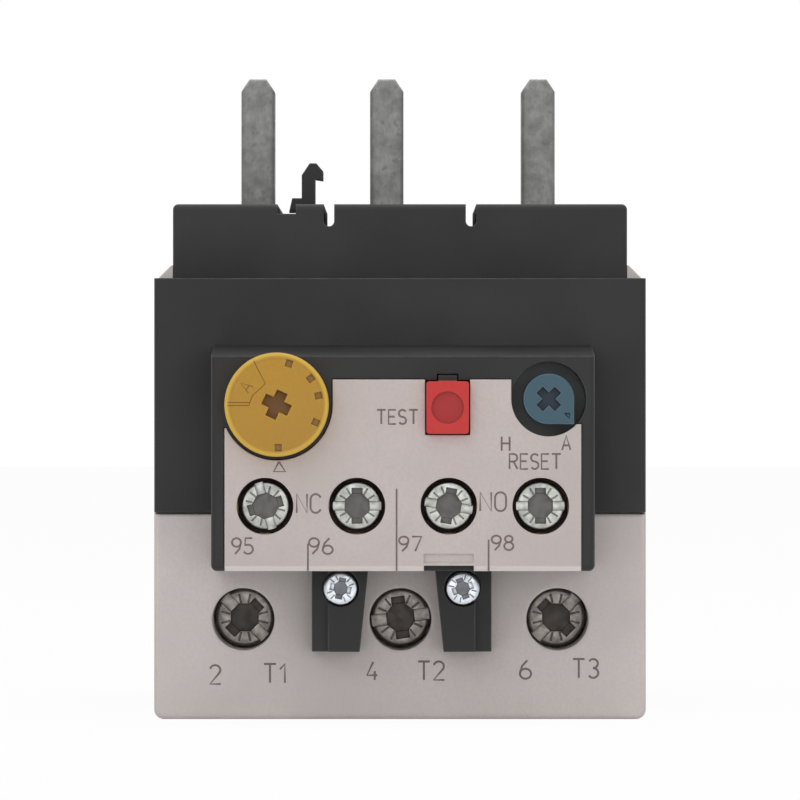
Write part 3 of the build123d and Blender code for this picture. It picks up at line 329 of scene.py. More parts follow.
def moulded(name, pigment, rubbed_and_highlit, gloss=0.5, grain=0.16 * mm, reflection=0.35, edge=0.30 * mm, dress=None):
    """Moulded plastic with grain, flow clouds, paler edges (rubbed, and a painted highlight) and what one
    piece has of its own.
    """
    finish = Finish(name, Specular_IOR_Level=reflection)
    clouds = finish.window(finish.noise(cloud_size, 3.0), 0.35, 0.65)
    specks = finish.window(finish.noise(grain * 2.2, 2.0), 0.40, 0.62)
    soft, corners = finish.edges(edge)
    scuffs = finish.window(finish.noise(scuff_size, 4.0, finish.stretched(1, 1, 0.35)), 0.40, 0.60)
    body_colour = finish.mix(clouds, shade(pigment, 0.94), shade(pigment, 1.05))
    body_colour = finish.mix(specks * 0.35, body_colour, shade(pigment, 0.88))
    # paler edges: partly rubbed wear, partly a painted highlight where a rounded edge would catch the light
    body_colour = finish.mix(corners * (0.45 + 0.5 * scuffs), body_colour, rubbed_and_highlit)
    if dress:
        body_colour, soft = dress(finish, body_colour, soft)
    surface = finish.relief(finish.noise(grain, 2.0), grain_depth, 0.55, soft)
    return finish.wear(
        Base_Color=body_colour,
        Roughness=gloss + 0.12 * clouds - 0.10 * corners,
        Normal=surface,
    )


def middle_of(node):
    """The middle of a node's front face."""
    low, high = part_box(node)
    return (low.x + high.x) / 2, low.y, (low.z + high.z) / 2


def button_axis(spring):
    """A button has the axis of its round spring, whatever the outline of its cap."""
    x, _, z = middle_of(spring)
    return x, z


dial_x, dial_face, dial_z = middle_of("current_dial")
test_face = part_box("test_button")[0].y
reset_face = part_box("reset_button")[0].y
module_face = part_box("module_housing")[0].y
plate_low, plate_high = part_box("faceplate")
marks_reach = 5.80 * mm
rim_start = 5.50 * mm
rim_end = 5.90 * mm
dish_depth = 0.22 * mm
dimple_radius = 1.98 * mm
cross_reach = 2.2 * mm
well_radius = 4.9 * mm
bevel_height = 0.66 * mm


def dress_dial(finish, colour, soft):
    """Brown in the sunk marks, painted shade in the cross that darkens with depth, and a painted highlight
    and a shallow dish on the rim.
    """
    out = finish.from_axis(dial_x, dial_z)
    on_face = finish.window(out, marks_reach, marks_reach - 0.05 * mm)
    sunk = finish.below(dial_face, 0.06 * mm, 0.14 * mm) * on_face
    # the cross is browner the deeper it goes: painted shade
    deep = finish.below(dial_face, 0.5 * mm, 1.5 * mm) * finish.window(out, 1.6 * mm, 0.4 * mm)
    hollow_shade = finish.mix(deep, paint(146, 104, 42), paint(136, 92, 50))
    rim = finish.window(out, rim_start, rim_end)
    dished = finish.relief(rim, dish_depth, 1.0, soft)
    # painted highlight: a paler ring all round the rim
    lit_rim = finish.mix(rim * 0.75, colour, paint(228, 188, 76))
    return finish.mix(sunk, lit_rim, hollow_shade), dished


def dress_test(finish, colour, soft):
    """Painted shade in the dimple, a darker red, and black on the nib that stands above the plate's edge."""
    out = finish.from_axis(*button_axis("test_spring"))
    within = finish.window(out, dimple_radius, dimple_radius - 0.04 * mm)
    # painted shade: the dimple is a darker red
    dimple = finish.below(test_face, 0.08 * mm, 0.36 * mm) * within
    nib = finish.window(finish.along("Z"), plate_high.z - 0.16 * mm, plate_high.z - 0.12 * mm)
    return finish.mix(nib, finish.mix(dimple, colour, paint(172, 46, 46)), paint(34, 30, 30)), soft


def dress_reset(finish, colour, soft):
    """Painted shade: a dark cross in the recess."""
    out = finish.from_axis(*button_axis("reset_spring"))
    within = finish.window(out, cross_reach, cross_reach - 0.1 * mm)
    cross = finish.below(reset_face, 0.10 * mm, 0.30 * mm) * within
    return finish.mix(cross, colour, paint(30, 48, 64)), soft


def dress_plate(finish, colour, soft):
    """A pale lower edge, where a broad bevel catches the light."""
    bevel_top = plate_low.z + bevel_height
    low = finish.window(finish.along("Z"), bevel_top, bevel_top - 0.16 * mm)
    return finish.mix(low * 0.7, colour, paint(238, 231, 228)), soft


def dress_module(finish, colour, soft):
    """A paler wall in the reset button's well, which broad light reaches."""
    out = finish.from_axis(*button_axis("reset_spring"))
    inside = finish.window(out, well_radius, well_radius - 0.2 * mm)
    deep = finish.below(module_face, 0.10 * mm, 0.30 * mm)
    return finish.mix(inside * deep, colour, paint(92, 94, 94)), soft


# the inner side, the foot and the front face of the two shoulders, and a hair's breadth
shoulder_inner = 28.12 * mm
shoulder_level = 53.82 * mm
shoulder_face = -19.20 * mm
hair = 0.03 * mm
cover_grey = paint(212, 203, 200)


def dress_base(finish, colour, soft):
    """Grey on the front faces of the two shoulders, where the grey rear of the body looks past the black."""
    aside = finish.node("ShaderNodeMath", {"operation": "ABSOLUTE"}, {0: finish.along("X")})
    outside = finish.window(aside, shoulder_inner, shoulder_inner + hair)
    above = finish.window(finish.along("Z"), shoulder_level, shoulder_level + hair)
    in_front = finish.window(finish.along("Y"), shoulder_face + hair, shoulder_face)
    return finish.mix(outside * above * in_front, colour, cover_grey), soft


# the second colour of each moulding is its paler edge: partly wear, partly a painted highlight
black = {"pigment": paint(30, 29, 29), "rubbed_and_highlit": paint(100, 100, 102), "gloss": 0.48, "reflection": 0.4}
finishes = {
    "black_plastic": moulded("black_moulding", **black),
    "cover_plastic": moulded("grey_moulding", cover_grey, paint(236, 230, 228), gloss=0.55, edge=0.70 * mm),
    "plate_plastic": moulded(
        "plate_moulding", paint(202, 191, 188), paint(234, 226, 222), gloss=0.50, dress=dress_plate),
    "chassis_plastic": moulded("natural_moulding", paint(206, 202, 190), paint(226, 224, 214), gloss=0.5),
    "yellow_plastic": moulded(
        "yellow_moulding", paint(184, 138, 46), paint(222, 184, 72), gloss=0.38, dress=dress_dial),
    "red_plastic": moulded(
        "red_moulding", paint(200, 52, 50), paint(232, 92, 84), gloss=0.38, dress=dress_test),
    "blue_plastic": moulded(
        "blue_moulding", paint(60, 90, 104), paint(112, 146, 160), gloss=0.36, dress=dress_reset),
}
print(len(finishes), "moulded finishes")

# %% [markdown]
# ## Metals
# Tin plate on copper is dull and blotchy, zinc on steel is brighter with faint turning marks, and
# the heater ribbon carries heat colours. The colour sits in the reflection, so metallic is 1 and
# the pattern is in colour and roughness.

# %% Metal finishes
blotch_size = 1.6 * mm
mark_size = 0.22 * mm
mark_depth = 0.006 * mm
stain_size = 0.9 * mm


def metal(name, tone, spot, roughness, along=(1, 1, 1), bright=None, stain=0.0, edge=0.22 * mm):
    """Plated metal with blotches, drawn marks along one way, brighter edges (rubbed, and a painted highlight)
    and a few stains.
    """
    finish = Finish(name, Metallic=1.0)
    blotches = finish.window(finish.noise(blotch_size, 5.0, roughness=0.62), 0.36, 0.64)
    fine = finish.noise(mark_size, 3.0, finish.stretched(*along))
    soft, corners = finish.edges(edge)
    colour = finish.mix(blotches, tone, spot)
    colour = finish.mix(finish.window(fine, 0.42, 0.60) * 0.35, colour, shade(tone, 0.72))
    stains = finish.window(finish.noise(stain_size, 2.0), 0.62, 0.70) * stain
    colour = finish.mix(stains, colour, shade(tone, 0.55))
    # brighter edges: partly rubbed metal, partly a painted highlight
    colour = finish.mix(corners * 0.7, colour, bright or shade(tone, 1.35))
    surface = finish.relief(fine, mark_depth, 0.6, soft)
    return finish.wear(Base_Color=colour, Roughness=roughness + 0.14 * blotches, Normal=surface)


finishes.update({
    # the tin's pale edge colour is a painted highlight along the blades' rounded edges
    "tinned_copper": metal(
        "tin_plate", paint(134, 134, 132), paint(122, 122, 120), 0.48, (1, 1, 0.2), paint(206, 208, 205),
        stain=0.5, edge=0.55 * mm),
    "bimetal": metal("bimetal_sheet", paint(186, 182, 172), paint(166, 160, 148), 0.34, (1, 1, 0.10)),
    "heater_alloy": metal("heater_ribbon", paint(140, 132, 122), paint(112, 92, 84), 0.40),
    "plated_steel": metal("zinc_steel", paint(176, 178, 170), paint(150, 152, 144), 0.30),
    "bright_zinc": metal("bright_zinc_plate", paint(214, 220, 226), paint(186, 194, 202), 0.22),
    "contact_brass": metal("contact_strip", paint(214, 184, 120), paint(186, 150, 88), 0.30, (0.15, 1, 1)),
    "spring_steel": metal("spring_wire", paint(176, 176, 176), paint(150, 150, 150), 0.26),
})
own_finish = {
    "base_housing": moulded("black_base_moulding", dress=dress_base, **black),
    "module_housing": moulded("black_module_moulding", dress=dress_module, **black),
    "reset_sleeve": moulded("black_sleeve_moulding", dress=dress_module, **black),
}
# painted shade: the clamps around the aux screw heads are dark, for the shade down in their wells
clamp_shade = metal("blackened_steel", paint(104, 86, 82), paint(84, 68, 66), 0.6)
own_finish.update({node: clamp_shade for node in nodes if node.startswith("aux_clamp")})
for node, rigid in nodes.items():
    rigid.data.materials.clear()
    rigid.data.materials.append(own_finish.get(node, finishes[slot_of[node]]))
print(len(finishes), "finishes on", len(nodes), "rigid pieces")

# %% [markdown]
# ## Printed marks
# Laser marking draws letters with one round pen, so a letter is a few strokes of one width. A font
# would give thick and thin stems, so each letter here is a list of strokes in a box one unit high,
# and a geometry tree sweeps the pen along them. The pen's tube is flattened to a film of ink.

# %% Strokes of the letters


def bow(x, y, radius, start, end, steps=12):
    """Points on an arc, from one angle to another, in degrees."""
    angles = [math.radians(start + (end - start) * step / steps) for step in range(steps + 1)]
    return [(x + radius * math.cos(angle), y + radius * math.sin(angle)) for angle in angles]


letters = {
    "T": (0.60, [[(0, 1), (0.6, 1)], [(0.3, 1), (0.3, 0)]]),
    "E": (0.50, [[(0.5, 1), (0, 1), (0, 0), (0.5, 0)], [(0, 0.52), (0.42, 0.52)]]),
    "S": (0.52, [bow(0.26, 0.75, 0.25, 30, 270) + bow(0.26, 0.25, 0.25, 90, -150)]),
    "N": (0.58, [[(0, 0), (0, 1), (0.58, 0), (0.58, 1)]]),
    "C": (0.56, [bow(0.29, 0.71, 0.29, 20, 180) + bow(0.29, 0.29, 0.29, 180, 340)]),
    "O": (0.58, [bow(0.29, 0.71, 0.29, 0, 180) + bow(0.29, 0.29, 0.29, 180, 360) + [(0.58, 0.71)]]),
    "R": (0.54, [[(0, 0), (0, 1)] + bow(0.27, 0.75, 0.25, 90, -90) + [(0, 0.5)], [(0.27, 0.5), (0.54, 0)]]),
    "H": (0.56, [[(0, 0), (0, 1)], [(0.56, 0), (0.56, 1)], [(0, 0.52), (0.56, 0.52)]]),
    "A": (0.62, [[(0, 0), (0.31, 1), (0.62, 0)], [(0.10, 0.32), (0.52, 0.32)]]),
    "1": (0.24, [[(0, 0.72), (0.24, 1), (0.24, 0)]]),
    "2": (0.54, [bow(0.26, 0.74, 0.26, 165, -40) + [(0, 0), (0.54, 0)]]),
    "3": (0.52, [bow(0.25, 0.76, 0.24, 150, -90) + bow(0.25, 0.26, 0.26, 90, -150)]),
    "4": (0.56, [[(0.34, 1), (0, 0.26), (0.56, 0.26)], [(0.42, 0.5), (0.42, 0)]]),
    "5": (0.52, [[(0.48, 1), (0.07, 1), (0.04, 0.56)] + bow(0.23, 0.30, 0.29, 112, -150)]),
    "6": (0.54, [bow(0.27, 0.27, 0.27, 160, 520, 24), [(0.01, 0.35), (0.10, 0.68), (0.36, 1)]]),
    "7": (0.54, [[(0, 1), (0.54, 1), (0.18, 0)]]),
    "8": (0.54, [bow(0.27, 0.77, 0.22, 0, 360, 24), bow(0.27, 0.28, 0.27, 0, 360, 24)]),
    "9": (0.54, [bow(0.27, 0.73, 0.27, -20, 340, 24), [(0.53, 0.65), (0.44, 0.32), (0.18, 0)]]),
}
gap = 0.20


def word_strokes(word, left, bottom, width, height, turn=0.0):
    """Strokes of a word that fills a given box, turned about the box's middle."""
    unit = sum(letters[letter][0] for letter in word) + gap * (len(word) - 1)
    middle_of_word = (left + width / 2, bottom + height / 2)
    lean = math.radians(turn)
    strokes = []
    pen_x = 0.0
    for letter in word:
        for stroke in letters[letter][1]:
            points = []
            for x, y in stroke:
                across = (pen_x + x) / unit * width - width / 2
                up = (y - 0.5) * height
                points.append((
                    middle_of_word[0] + across * math.cos(lean) - up * math.sin(lean),
                    middle_of_word[1] + across * math.sin(lean) + up * math.cos(lean),
                ))
            strokes.append(points)
        pen_x += letters[letter][0] + gap
    return strokes


print(len(letters), "letters, each one unit high")

# %% [markdown]
# The tree that sweeps the pen has the pen's width, the ink's height and the finish as named
# inputs. A modifier's input is set by its identifier before the object is first evaluated, and the
# result is turned into a plain mesh, so nothing live is left on the piece.

# %% Geometry trees and how they are run


def new_tree(name, inputs):
    """An empty geometry tree with a geometry input, named inputs and a geometry output."""
    tree = bpy.data.node_groups.new(name, "GeometryNodeTree")
    tree.interface.new_socket("Geometry", in_out="INPUT", socket_type="NodeSocketGeometry")
    for label, kind in inputs.items():
        tree.interface.new_socket(label, in_out="INPUT", socket_type=f"NodeSocket{kind}")
    tree.interface.new_socket("Geometry", in_out="OUTPUT", socket_type="NodeSocketGeometry")
    net = Net(tree)
    entry = net.node("NodeGroupInput").socket.node
    return net, {socket.name: Value(net, socket) for socket in entry.outputs if socket.name}


def close_tree(net, shape, finish):
    """The last nodes of each tree: real geometry with a material, then the output."""
    real = net.node("GeometryNodeRealizeInstances", sockets={0: shape})
    dressed = net.node("GeometryNodeSetMaterial", sockets={"Geometry": real, "Material": finish})
    output = net.tree.nodes.new("NodeGroupOutput")
    net.feed(output.inputs[0], dressed)


def grow(name, data, net, values):
    """Runs a tree on some data and gives the plain mesh that it makes."""
    carrier = bpy.data.objects.new(name, data)
    scene.collection.objects.link(carrier)
    modifier = carrier.modifiers.new("tree", "NODES")
    modifier.node_group = net.tree
    for socket in net.tree.interface.items_tree:
        if socket.in_out == "INPUT" and socket.name in values:
            modifier[socket.identifier] = values[socket.name]
    bpy.context.view_layer.update()
    shape = carrier.evaluated_get(bpy.context.evaluated_depsgraph_get())
    mesh = bpy.data.meshes.new_from_object(shape)
    mesh.name = name
    bpy.data.objects.remove(carrier)
    return mesh


def facing_front(x, y, z):
    """Turns a drawing in X and Y so that it faces the viewer at a place on the relay."""
    return Matrix.Translation((x, y, z)) @ Matrix.Rotation(math.radians(90), 4, "X")


def place_piece(name, mesh, matrix, body, replaced=()):
    """A finished piece: its place is in its mesh, and its object stays at the origin."""
    mesh.transform(matrix)
    piece = bpy.data.objects.new(name, mesh)
    scene.collection.objects.link(piece)
    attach(piece, body)
    if replaced:
        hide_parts(*replaced)
    return piece


pen_tree, pen = new_tree("pen", {"Pen Width": "Float", "Ink Height": "Float", "Finish": "Material"})
nib_size = {"Resolution": 10, "Radius": pen["Pen Width"] * 0.5}
nib = pen_tree.node("GeometryNodeCurvePrimitiveCircle", sockets=nib_size)
swept = {"Curve": pen["Geometry"], "Profile Curve": nib, "Fill Caps": True}
tube = pen_tree.node("GeometryNodeCurveToMesh", sockets=swept)
flat_share = pen["Ink Height"] / pen["Pen Width"] * 2
flatten = pen_tree.node("ShaderNodeCombineXYZ", sockets={"X": 1.0, "Y": 1.0, "Z": flat_share})
ink_film = pen_tree.node("GeometryNodeTransform", sockets={"Geometry": tube, "Scale": flatten})
close_tree(pen_tree, ink_film, pen["Finish"])


def draw(name, strokes, width, surface, body, finish, height=0.02 * mm):
    """Ink lines on a plane that faces the front."""
    curve = bpy.data.curves.new(name, "CURVE")
    curve.dimensions = "3D"
    for stroke in strokes:
        spline = curve.splines.new("POLY")
        spline.points.add(len(stroke) - 1)
        for point, (x, y) in zip(spline.points, stroke):
            point.co = (x * mm, y * mm, 0, 1)
    values = {"Pen Width": width, "Ink Height": height, "Finish": finish}
    mesh = grow(name, curve, pen_tree, values)
    print(name, len(mesh.polygons), "faces")
    return place_piece(name, mesh, facing_front(0, surface, 0), body)


# %% [markdown]
# The words on the faceplate and the terminal numbers are where a fitter looks for them: the number
# under its screw, and the word beside its button. The ink is a warm grey that sinks a little into
# the plastic, so its edge is soft and its tone uneven.

# %% Ink, words and lines on the plates


def ink(name, tone, pale):
    """Laser marking: a matt tone that breaks up where the grain stands proud."""
    finish = Finish(name, Specular_IOR_Level=0.2)
    patches = finish.window(finish.noise(0.30 * mm, 3.0), 0.45, 0.70)
    colour = finish.mix(patches * 0.45, tone, pale)
    surface = finish.relief(finish.noise(0.10 * mm), 0.004 * mm, 0.5)
    return finish.wear(Base_Color=colour, Roughness=0.6 + 0.2 * patches, Normal=surface)


grey_ink = ink("grey_marking", paint(120, 107, 106), paint(150, 138, 136))
# each word: its left and bottom, width and height in millimetres
plate_words = [
    ("TEST", -2.76, 36.06, 4.9, 1.70),
    ("NC", -12.39, 25.40, 2.85, 2.25),
    ("NO", 9.62, 25.62, 3.10, 2.25),
    ("95", -20.15, 20.46, 2.50, 1.90),
    ("96", -10.92, 20.46, 2.85, 1.90),
    ("97", -0.12, 20.80, 2.70, 1.75),
    ("98", 11.00, 20.92, 2.60, 1.75),
    ("H", 12.20, 32.85, 0.95, 1.70),
    ("A", 19.45, 32.95, 1.00, 1.70),
    ("RESET", 13.14, 30.66, 6.15, 1.80),
]
cover_words = [
    ("2", -23.17, 4.30, 1.30, 2.30),
    ("T1", -16.59, 4.45, 2.55, 2.30),
    ("4", -4.02, 4.80, 1.25, 2.20),
    ("T2", 2.20, 4.80, 3.20, 2.25),
    ("6", 14.63, 4.95, 1.35, 2.25),
    ("T3", 21.10, 5.05, 3.10, 2.30),
]
plate_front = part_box("faceplate")[0].y
plate_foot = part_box("faceplate")[0].z / mm
dividers = [(-11.05, 21.70), (-0.41, 28.30), (10.63, 22.20)]
plate_lines = [[(x, plate_foot + 0.05), (x, top)] for x, top in dividers]
pointer = [(-14.52, 31.53), (-15.15, 30.35), (-13.76, 30.35), (-14.52, 31.53)]
plate_strokes = [stroke for word in plate_words for stroke in word_strokes(*word)] + [pointer]
cover_strokes = [stroke for word in cover_words for stroke in word_strokes(*word)]
draw("plate_marking", plate_strokes, 0.24 * mm, plate_front, "root", grey_ink)
draw("divider_lines", plate_lines, 0.22 * mm, plate_front, "root", grey_ink)
draw("cover_marking", cover_strokes, 0.26 * mm, front_plane, "root", grey_ink)

# %% [markdown]
# The dial carries an engraved sector with its range letter. Its lines are cut into the plastic; here
# they are thin ribbons on the face, darker than it as a painted shade of the grooves.

# %% Engraving on the dial and the reset button
dial_left, dial_level = dial_x / mm, dial_z / mm
sector = [(-2.73, 5.24), (-1.34, 2.51), (-2.88, 1.08), (-3.31, -0.10), (-5.87, -0.10)]
inner_line = [(-5.87, 0.26), (-3.20, 0.26)]
engraving = [[(dial_left + x, dial_level + z) for x, z in line] for line in (sector, inner_line)]
engraving += word_strokes("A", dial_left - 4.15, dial_level + 1.45, 0.95, 1.45, 55)
# painted shade of the engraved grooves
dark_groove = ink("dark_groove", paint(132, 98, 42), paint(152, 114, 48))
draw("dial_engraving", engraving, 0.13 * mm, dial_face, "dial", dark_groove, 0.012 * mm)

reset_mark = [[(19.75, 37.35), (20.35, 37.30), (20.30, 36.75), (19.75, 37.35)]]
deep_blue = ink("deep_blue_mark", paint(24, 40, 52), paint(34, 52, 64))
draw("reset_mark", reset_mark, 0.20 * mm, reset_face, "reset_button", deep_blue, 0.012 * mm)

# %% [markdown]
# ## Screws
# Terminal screws take a flat blade or a cross driver: a slot runs right across the head and a
# cross with a square heart lies under it, with short ticks between its arms. The head is spun from
# a profile, and a geometry tree cuts the recess, because every screw has the same one at its own
# size and angle. Each screw turns, so each becomes a mesh of its own on its own body.

# %% Spun blanks


def spun(name, profile, segments=72):
    """A closed body of revolution about Z from a profile of (radius, height) points."""
    vertices = []
    faces = []
    rings = []
    for radius, height in profile:
        if radius == 0:
            rings.append([len(vertices)] * segments)
            vertices.append((0, 0, height))
            continue
        rings.append(list(range(len(vertices), len(vertices) + segments)))
        for step in range(segments):
            angle = 2 * math.pi * step / segments
            vertices.append((radius * math.cos(angle), radius * math.sin(angle), height))
    for upper, lower in zip(rings, rings[1:]):
        for step in range(segments):
            after = (step + 1) % segments
            corners = [upper[step], lower[step], lower[after], upper[after]]
            faces.append(list(dict.fromkeys(corners)))
    mesh = bpy.data.meshes.new(name)
    mesh.from_pydata(vertices, [], faces)
    mesh.validate()
    return mesh


def screw_blank(name, head_radius, head_height, shank_radius, length, crown):
    """A round head with a softened rim on a plain shank, its top at height 0."""
    turns = [math.radians(angle) for angle in range(0, 91, 15)]
    rim = [(head_radius - crown * (1 - math.sin(turn)), -crown * (1 - math.cos(turn))) for turn in turns]
    foot = [(head_radius, -head_height), (shank_radius, -head_height), (shank_radius, -length), (0, -length)]
    return spun(name, [(0, 0)] + rim + foot)


print("a blank has", len(screw_blank("sample", 3 * mm, 2 * mm, 1 * mm, 5 * mm, 0.4 * mm).polygons), "faces")

# %% [markdown]
# The recess is cut by plain bars that cross on the axis: a long shallow one for the blade, a short
# deep one for the second arm, and an octagonal rod for the heart. Small blocks on a ring cut the
# ticks. A Boolean then takes all of them out of the blank at once.

# %% The tree that cuts a recess
recess_inputs = {
    "Slot Angle": "Float", "Slot Width": "Float", "Slot Depth": "Float", "Slot Reach": "Float",
    "Arm Reach": "Float", "Arm Width": "Float", "Arm Depth": "Float", "Tick Reach": "Float",
    "Heart Radius": "Float",
    "Finish": "Material",
}
cutter, cut = new_tree("screw_recess", recess_inputs)


def bar(net, length, width, depth, turn):
    """A straight cutter through the axis, sunk to a depth."""
    size = net.node("ShaderNodeCombineXYZ", sockets={"X": length, "Y": width, "Z": depth * 2})
    block = net.node("GeometryNodeMeshCube", sockets={"Size": size})
    twist = net.node("ShaderNodeCombineXYZ", sockets={"Z": turn})
    return net.node("GeometryNodeTransform", sockets={"Geometry": block, "Rotation": twist})


quarter = math.pi / 2
slot_bar = bar(cutter, cut["Slot Reach"] * 2, cut["Slot Width"], cut["Slot Depth"], cut["Slot Angle"])
arm = bar(cutter, cut["Arm Reach"] * 2, cut["Arm Width"], cut["Arm Depth"], cut["Slot Angle"] + quarter)
heart_size = {"Vertices": 8, "Radius": cut["Heart Radius"], "Depth": cut["Arm Depth"] * 2.2}
heart_rod = cutter.node("GeometryNodeMeshCylinder", sockets=heart_size)
heart_turn = cutter.node("ShaderNodeCombineXYZ", sockets={"Z": cut["Slot Angle"] + quarter / 4})
heart = cutter.node("GeometryNodeTransform", sockets={"Geometry": heart_rod, "Rotation": heart_turn})
tick_sides = {"X": cut["Tick Reach"] * 0.36, "Y": cut["Arm Width"] * 0.13, "Z": cut["Slot Depth"] * 0.5}
tick_size = cutter.node("ShaderNodeCombineXYZ", sockets=tick_sides)
tick_block = cutter.node("GeometryNodeMeshCube", sockets={"Size": tick_size})
tick_ring = cutter.node("GeometryNodeMeshCircle", sockets={"Vertices": 4, "Radius": cut["Tick Reach"] * 0.78})
ring_place = cutter.node("GeometryNodeInputPosition")
outwards = cutter.node("FunctionNodeAlignRotationToVector", {"axis": "X"}, {"Vector": ring_place})
on_ring = {"Points": tick_ring, "Instance": tick_block, "Rotation": outwards}
ticks = cutter.node("GeometryNodeInstanceOnPoints", sockets=on_ring)
solid_ticks = cutter.node("GeometryNodeRealizeInstances", sockets={0: ticks})
tick_sets = []
tick_spread = 0.24
for offset in (quarter / 2 - tick_spread, quarter / 2 + tick_spread):
    twist = cutter.node("ShaderNodeCombineXYZ", sockets={"Z": cut["Slot Angle"] + offset})
    turned_ticks = {"Geometry": solid_ticks, "Rotation": twist}
    tick_sets.append(cutter.node("GeometryNodeTransform", sockets=turned_ticks))
cut_settings = {"operation": "DIFFERENCE", "solver": "EXACT"}
recessed = cutter.node(
    "GeometryNodeMeshBoolean", cut_settings,
    {"Mesh 1": cut["Geometry"], "Mesh 2": [slot_bar, arm, heart] + tick_sets},
)
close_tree(cutter, recessed, cut["Finish"])
print("recess tree with", len(cutter.tree.nodes), "nodes")

# %% [markdown]
# Turned steel shows rings about its own axis. The screw keeps each point's distance from that axis
# as an attribute, so one finish draws the rings on every screw wherever it sits. A second attribute
# keeps the depth in the recess, where the finish paints shade.

# %% Turned steel


def turned(name, tone, spot, hollow_shade, roughness, ring=0.16 * mm):
    """Plated turned metal: faint rings about the axis, a painted highlight on edges, and painted shade in
    creases and in the recess.
    """
    finish = Finish(name, Metallic=1.0)
    distance = finish.node("ShaderNodeAttribute", {"attribute_name": "from_axis"}, out="Fac")
    deep = finish.node("ShaderNodeAttribute", {"attribute_name": "recess"}, out="Fac")
    rings = finish.node("ShaderNodeMath", {"operation": "SINE"}, {0: distance * (2 * math.pi / ring)})
    blotches = finish.window(finish.noise(0.9 * mm, 4.0), 0.36, 0.64)
    close_by = {"samples": 6, "only_local": True}
    sunk = finish.node("ShaderNodeAmbientOcclusion", close_by, {"Distance": 0.5 * mm}, out="AO")
    soft, corners = finish.edges(0.10 * mm)
    colour = finish.mix(blotches, tone, spot)
    # painted highlight on the edges
    colour = finish.mix(corners * 0.5, colour, shade(tone, 1.25))
    # painted shade where ambient occlusion finds creases
    colour = finish.mix((1 - finish.window(sunk, 0.40, 0.90)) * 0.8, colour, shade(hollow_shade, 0.6))
    # painted shade on the recess floor, below the depth of the slot
    colour = finish.mix(finish.window(deep, 1.05, 1.25), colour, hollow_shade)
    surface = finish.relief(rings, 0.002 * mm, 0.35, soft)
    return finish.wear(Base_Color=colour, Roughness=roughness + 0.12 * blotches, Normal=surface)


turned_steel = turned(
    "turned_zinc_steel", paint(184, 185, 180), paint(162, 163, 158), paint(91, 90, 88), 0.32)
# the terminal screws sit deep in their wells: this darker copy of the same steel is painted shade
turned_shaded = turned(
    "turned_terminal_steel", paint(158, 152, 147), paint(134, 128, 123), paint(66, 62, 59), 0.34)
turned_bright = turned(
    "turned_bright_zinc", paint(222, 226, 232), paint(200, 206, 212), paint(106, 108, 112), 0.30)


def make_screw(name, middle_of_head, radius, length, angle, finish, sizes):
    """A screw's mesh in its own frame, with its recess cut and its rings marked."""
    blank = screw_blank(name, radius, sizes["head"] * mm, sizes["shank"] * mm, length, sizes["crown"] * mm)
    values = {
        "Slot Angle": math.radians(angle),
        "Slot Width": sizes["slot"] * mm, "Slot Depth": sizes["slot_depth"] * mm,
        "Slot Reach": radius * 1.2 if sizes["through"] else sizes["arm"] * mm,
        "Arm Reach": sizes["arm"] * mm, "Arm Width": sizes["arm_width"] * mm,
        "Arm Depth": sizes["arm_depth"] * mm,
        "Tick Reach": radius * 0.86, "Heart Radius": sizes["heart"] * mm, "Finish": finish,
    }
    mesh = grow(name, blank, cutter, values)
    reaches = [math.hypot(vertex.co.x, vertex.co.y) for vertex in mesh.vertices]
    distances = mesh.attributes.new("from_axis", "FLOAT", "POINT")
    distances.data.foreach_set("value", reaches)
    share = 1 / (sizes["slot_depth"] * mm)
    within = radius * 0.98
    depths = [
        -vertex.co.z * share if reach < within else 0.0 for vertex, reach in zip(mesh.vertices, reaches)
    ]
    recess = mesh.attributes.new("recess", "FLOAT", "POINT")
    recess.data.foreach_set("value", depths)
    mesh.polygons.foreach_set("use_smooth", [True] * len(mesh.polygons))
    mesh.set_sharp_from_angle(angle=math.radians(32))
    mesh.transform(facing_front(*middle_of_head))
    return mesh


def axis_place(node):
    """The middle of a node's front, and its reach along Y."""
    low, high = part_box(node)
    return ((low.x + high.x) / 2, low.y, (low.z + high.z) / 2), (high.x - low.x) / 2, high.y - low.y


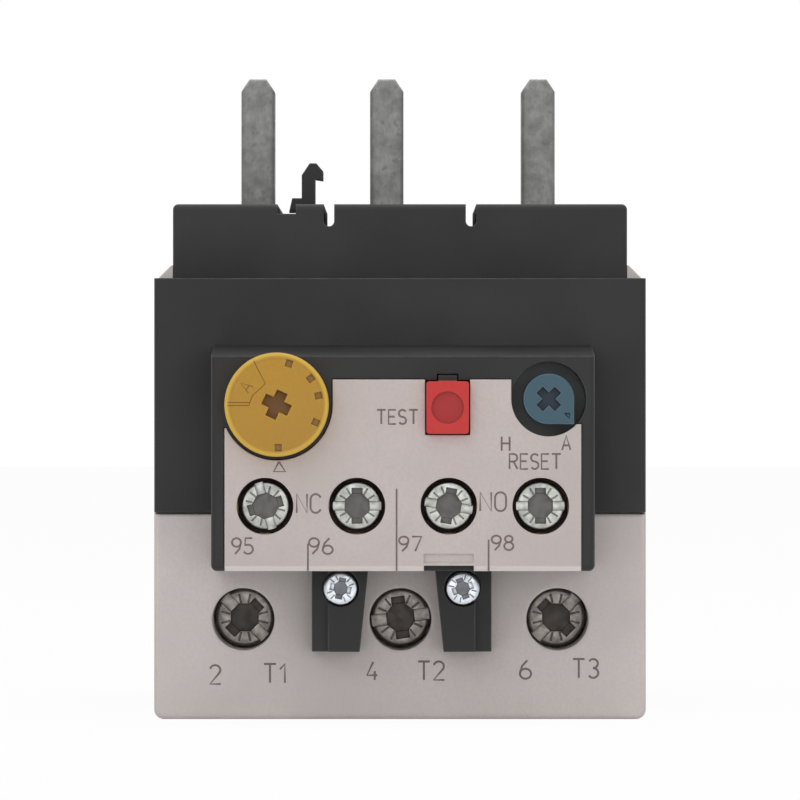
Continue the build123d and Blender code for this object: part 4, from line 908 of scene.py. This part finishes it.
main_sizes = {
    "head": 3.4, "shank": 2.5, "crown": 0.45, "slot": 1.50, "slot_depth": 0.9,
    "arm": 2.6, "arm_width": 1.65, "arm_depth": 1.9, "heart": 1.85, "through": True,
}
aux_sizes = {
    "head": 2.0, "shank": 1.7, "crown": 0.30, "slot": 1.10, "slot_depth": 0.6,
    "arm": 2.15, "arm_width": 1.30, "arm_depth": 1.3, "heart": 1.62, "through": True,
}
slot_angles = {
    "terminal_screw_1": -45, "terminal_screw_2": 8, "terminal_screw_3": 45,
    "aux_screw_95": -73, "aux_screw_96": 0, "aux_screw_97": -10, "aux_screw_98": 0,
}
for node, angle in slot_angles.items():
    sizes = main_sizes if node.startswith("terminal") else aux_sizes
    place, radius, length = axis_place(node)
    finish = turned_shaded if sizes is main_sizes else turned_steel
    mesh = make_screw(node + "_turned", place, radius, length, angle, finish, sizes)
    place_piece(node + "_turned", mesh, Matrix.Identity(4), body_of[node], [node])
print(len(slot_angles), "terminal screws")

# %% [markdown]
# The two screws that hold the module are one piece of the rigid model, so their two meshes are
# joined. They take a cross driver alone, and their slot ends inside the head.

# %% Two small screws in the lugs
lug_sizes = {
    "head": 1.2, "shank": 0.9, "crown": 0.45, "slot": 0.86, "slot_depth": 0.55,
    "arm": 1.30, "arm_width": 0.86, "arm_depth": 0.9, "heart": 0.90, "through": False,
}
low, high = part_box("module_screws")
lug_radius = (high.z - low.z) / 2
lug_places = [(low.x + lug_radius, -12.0), (high.x - lug_radius, 20.0)]
lug_level = (low.z + high.z) / 2
lug_length = high.y - low.y
scratch = []
for index, (x, angle) in enumerate(lug_places):
    place = (x, low.y, lug_level)
    mesh = make_screw(
        f"lug_screw_{index}", place, lug_radius, lug_length, angle, turned_bright, lug_sizes)
    scratch.append(bpy.data.objects.new(mesh.name, mesh))
    scene.collection.objects.link(scratch[-1])
with bpy.context.temp_override(active_object=scratch[0], selected_editable_objects=scratch):
    bpy.ops.object.join()
pair = scratch[0].data
pair.name = "lug_screws_turned"
bpy.data.objects.remove(scratch[0])
place_piece("lug_screws_turned", pair, Matrix.Identity(4), "root", ["module_screws"])
print("lug screws", len(pair.polygons), "faces")
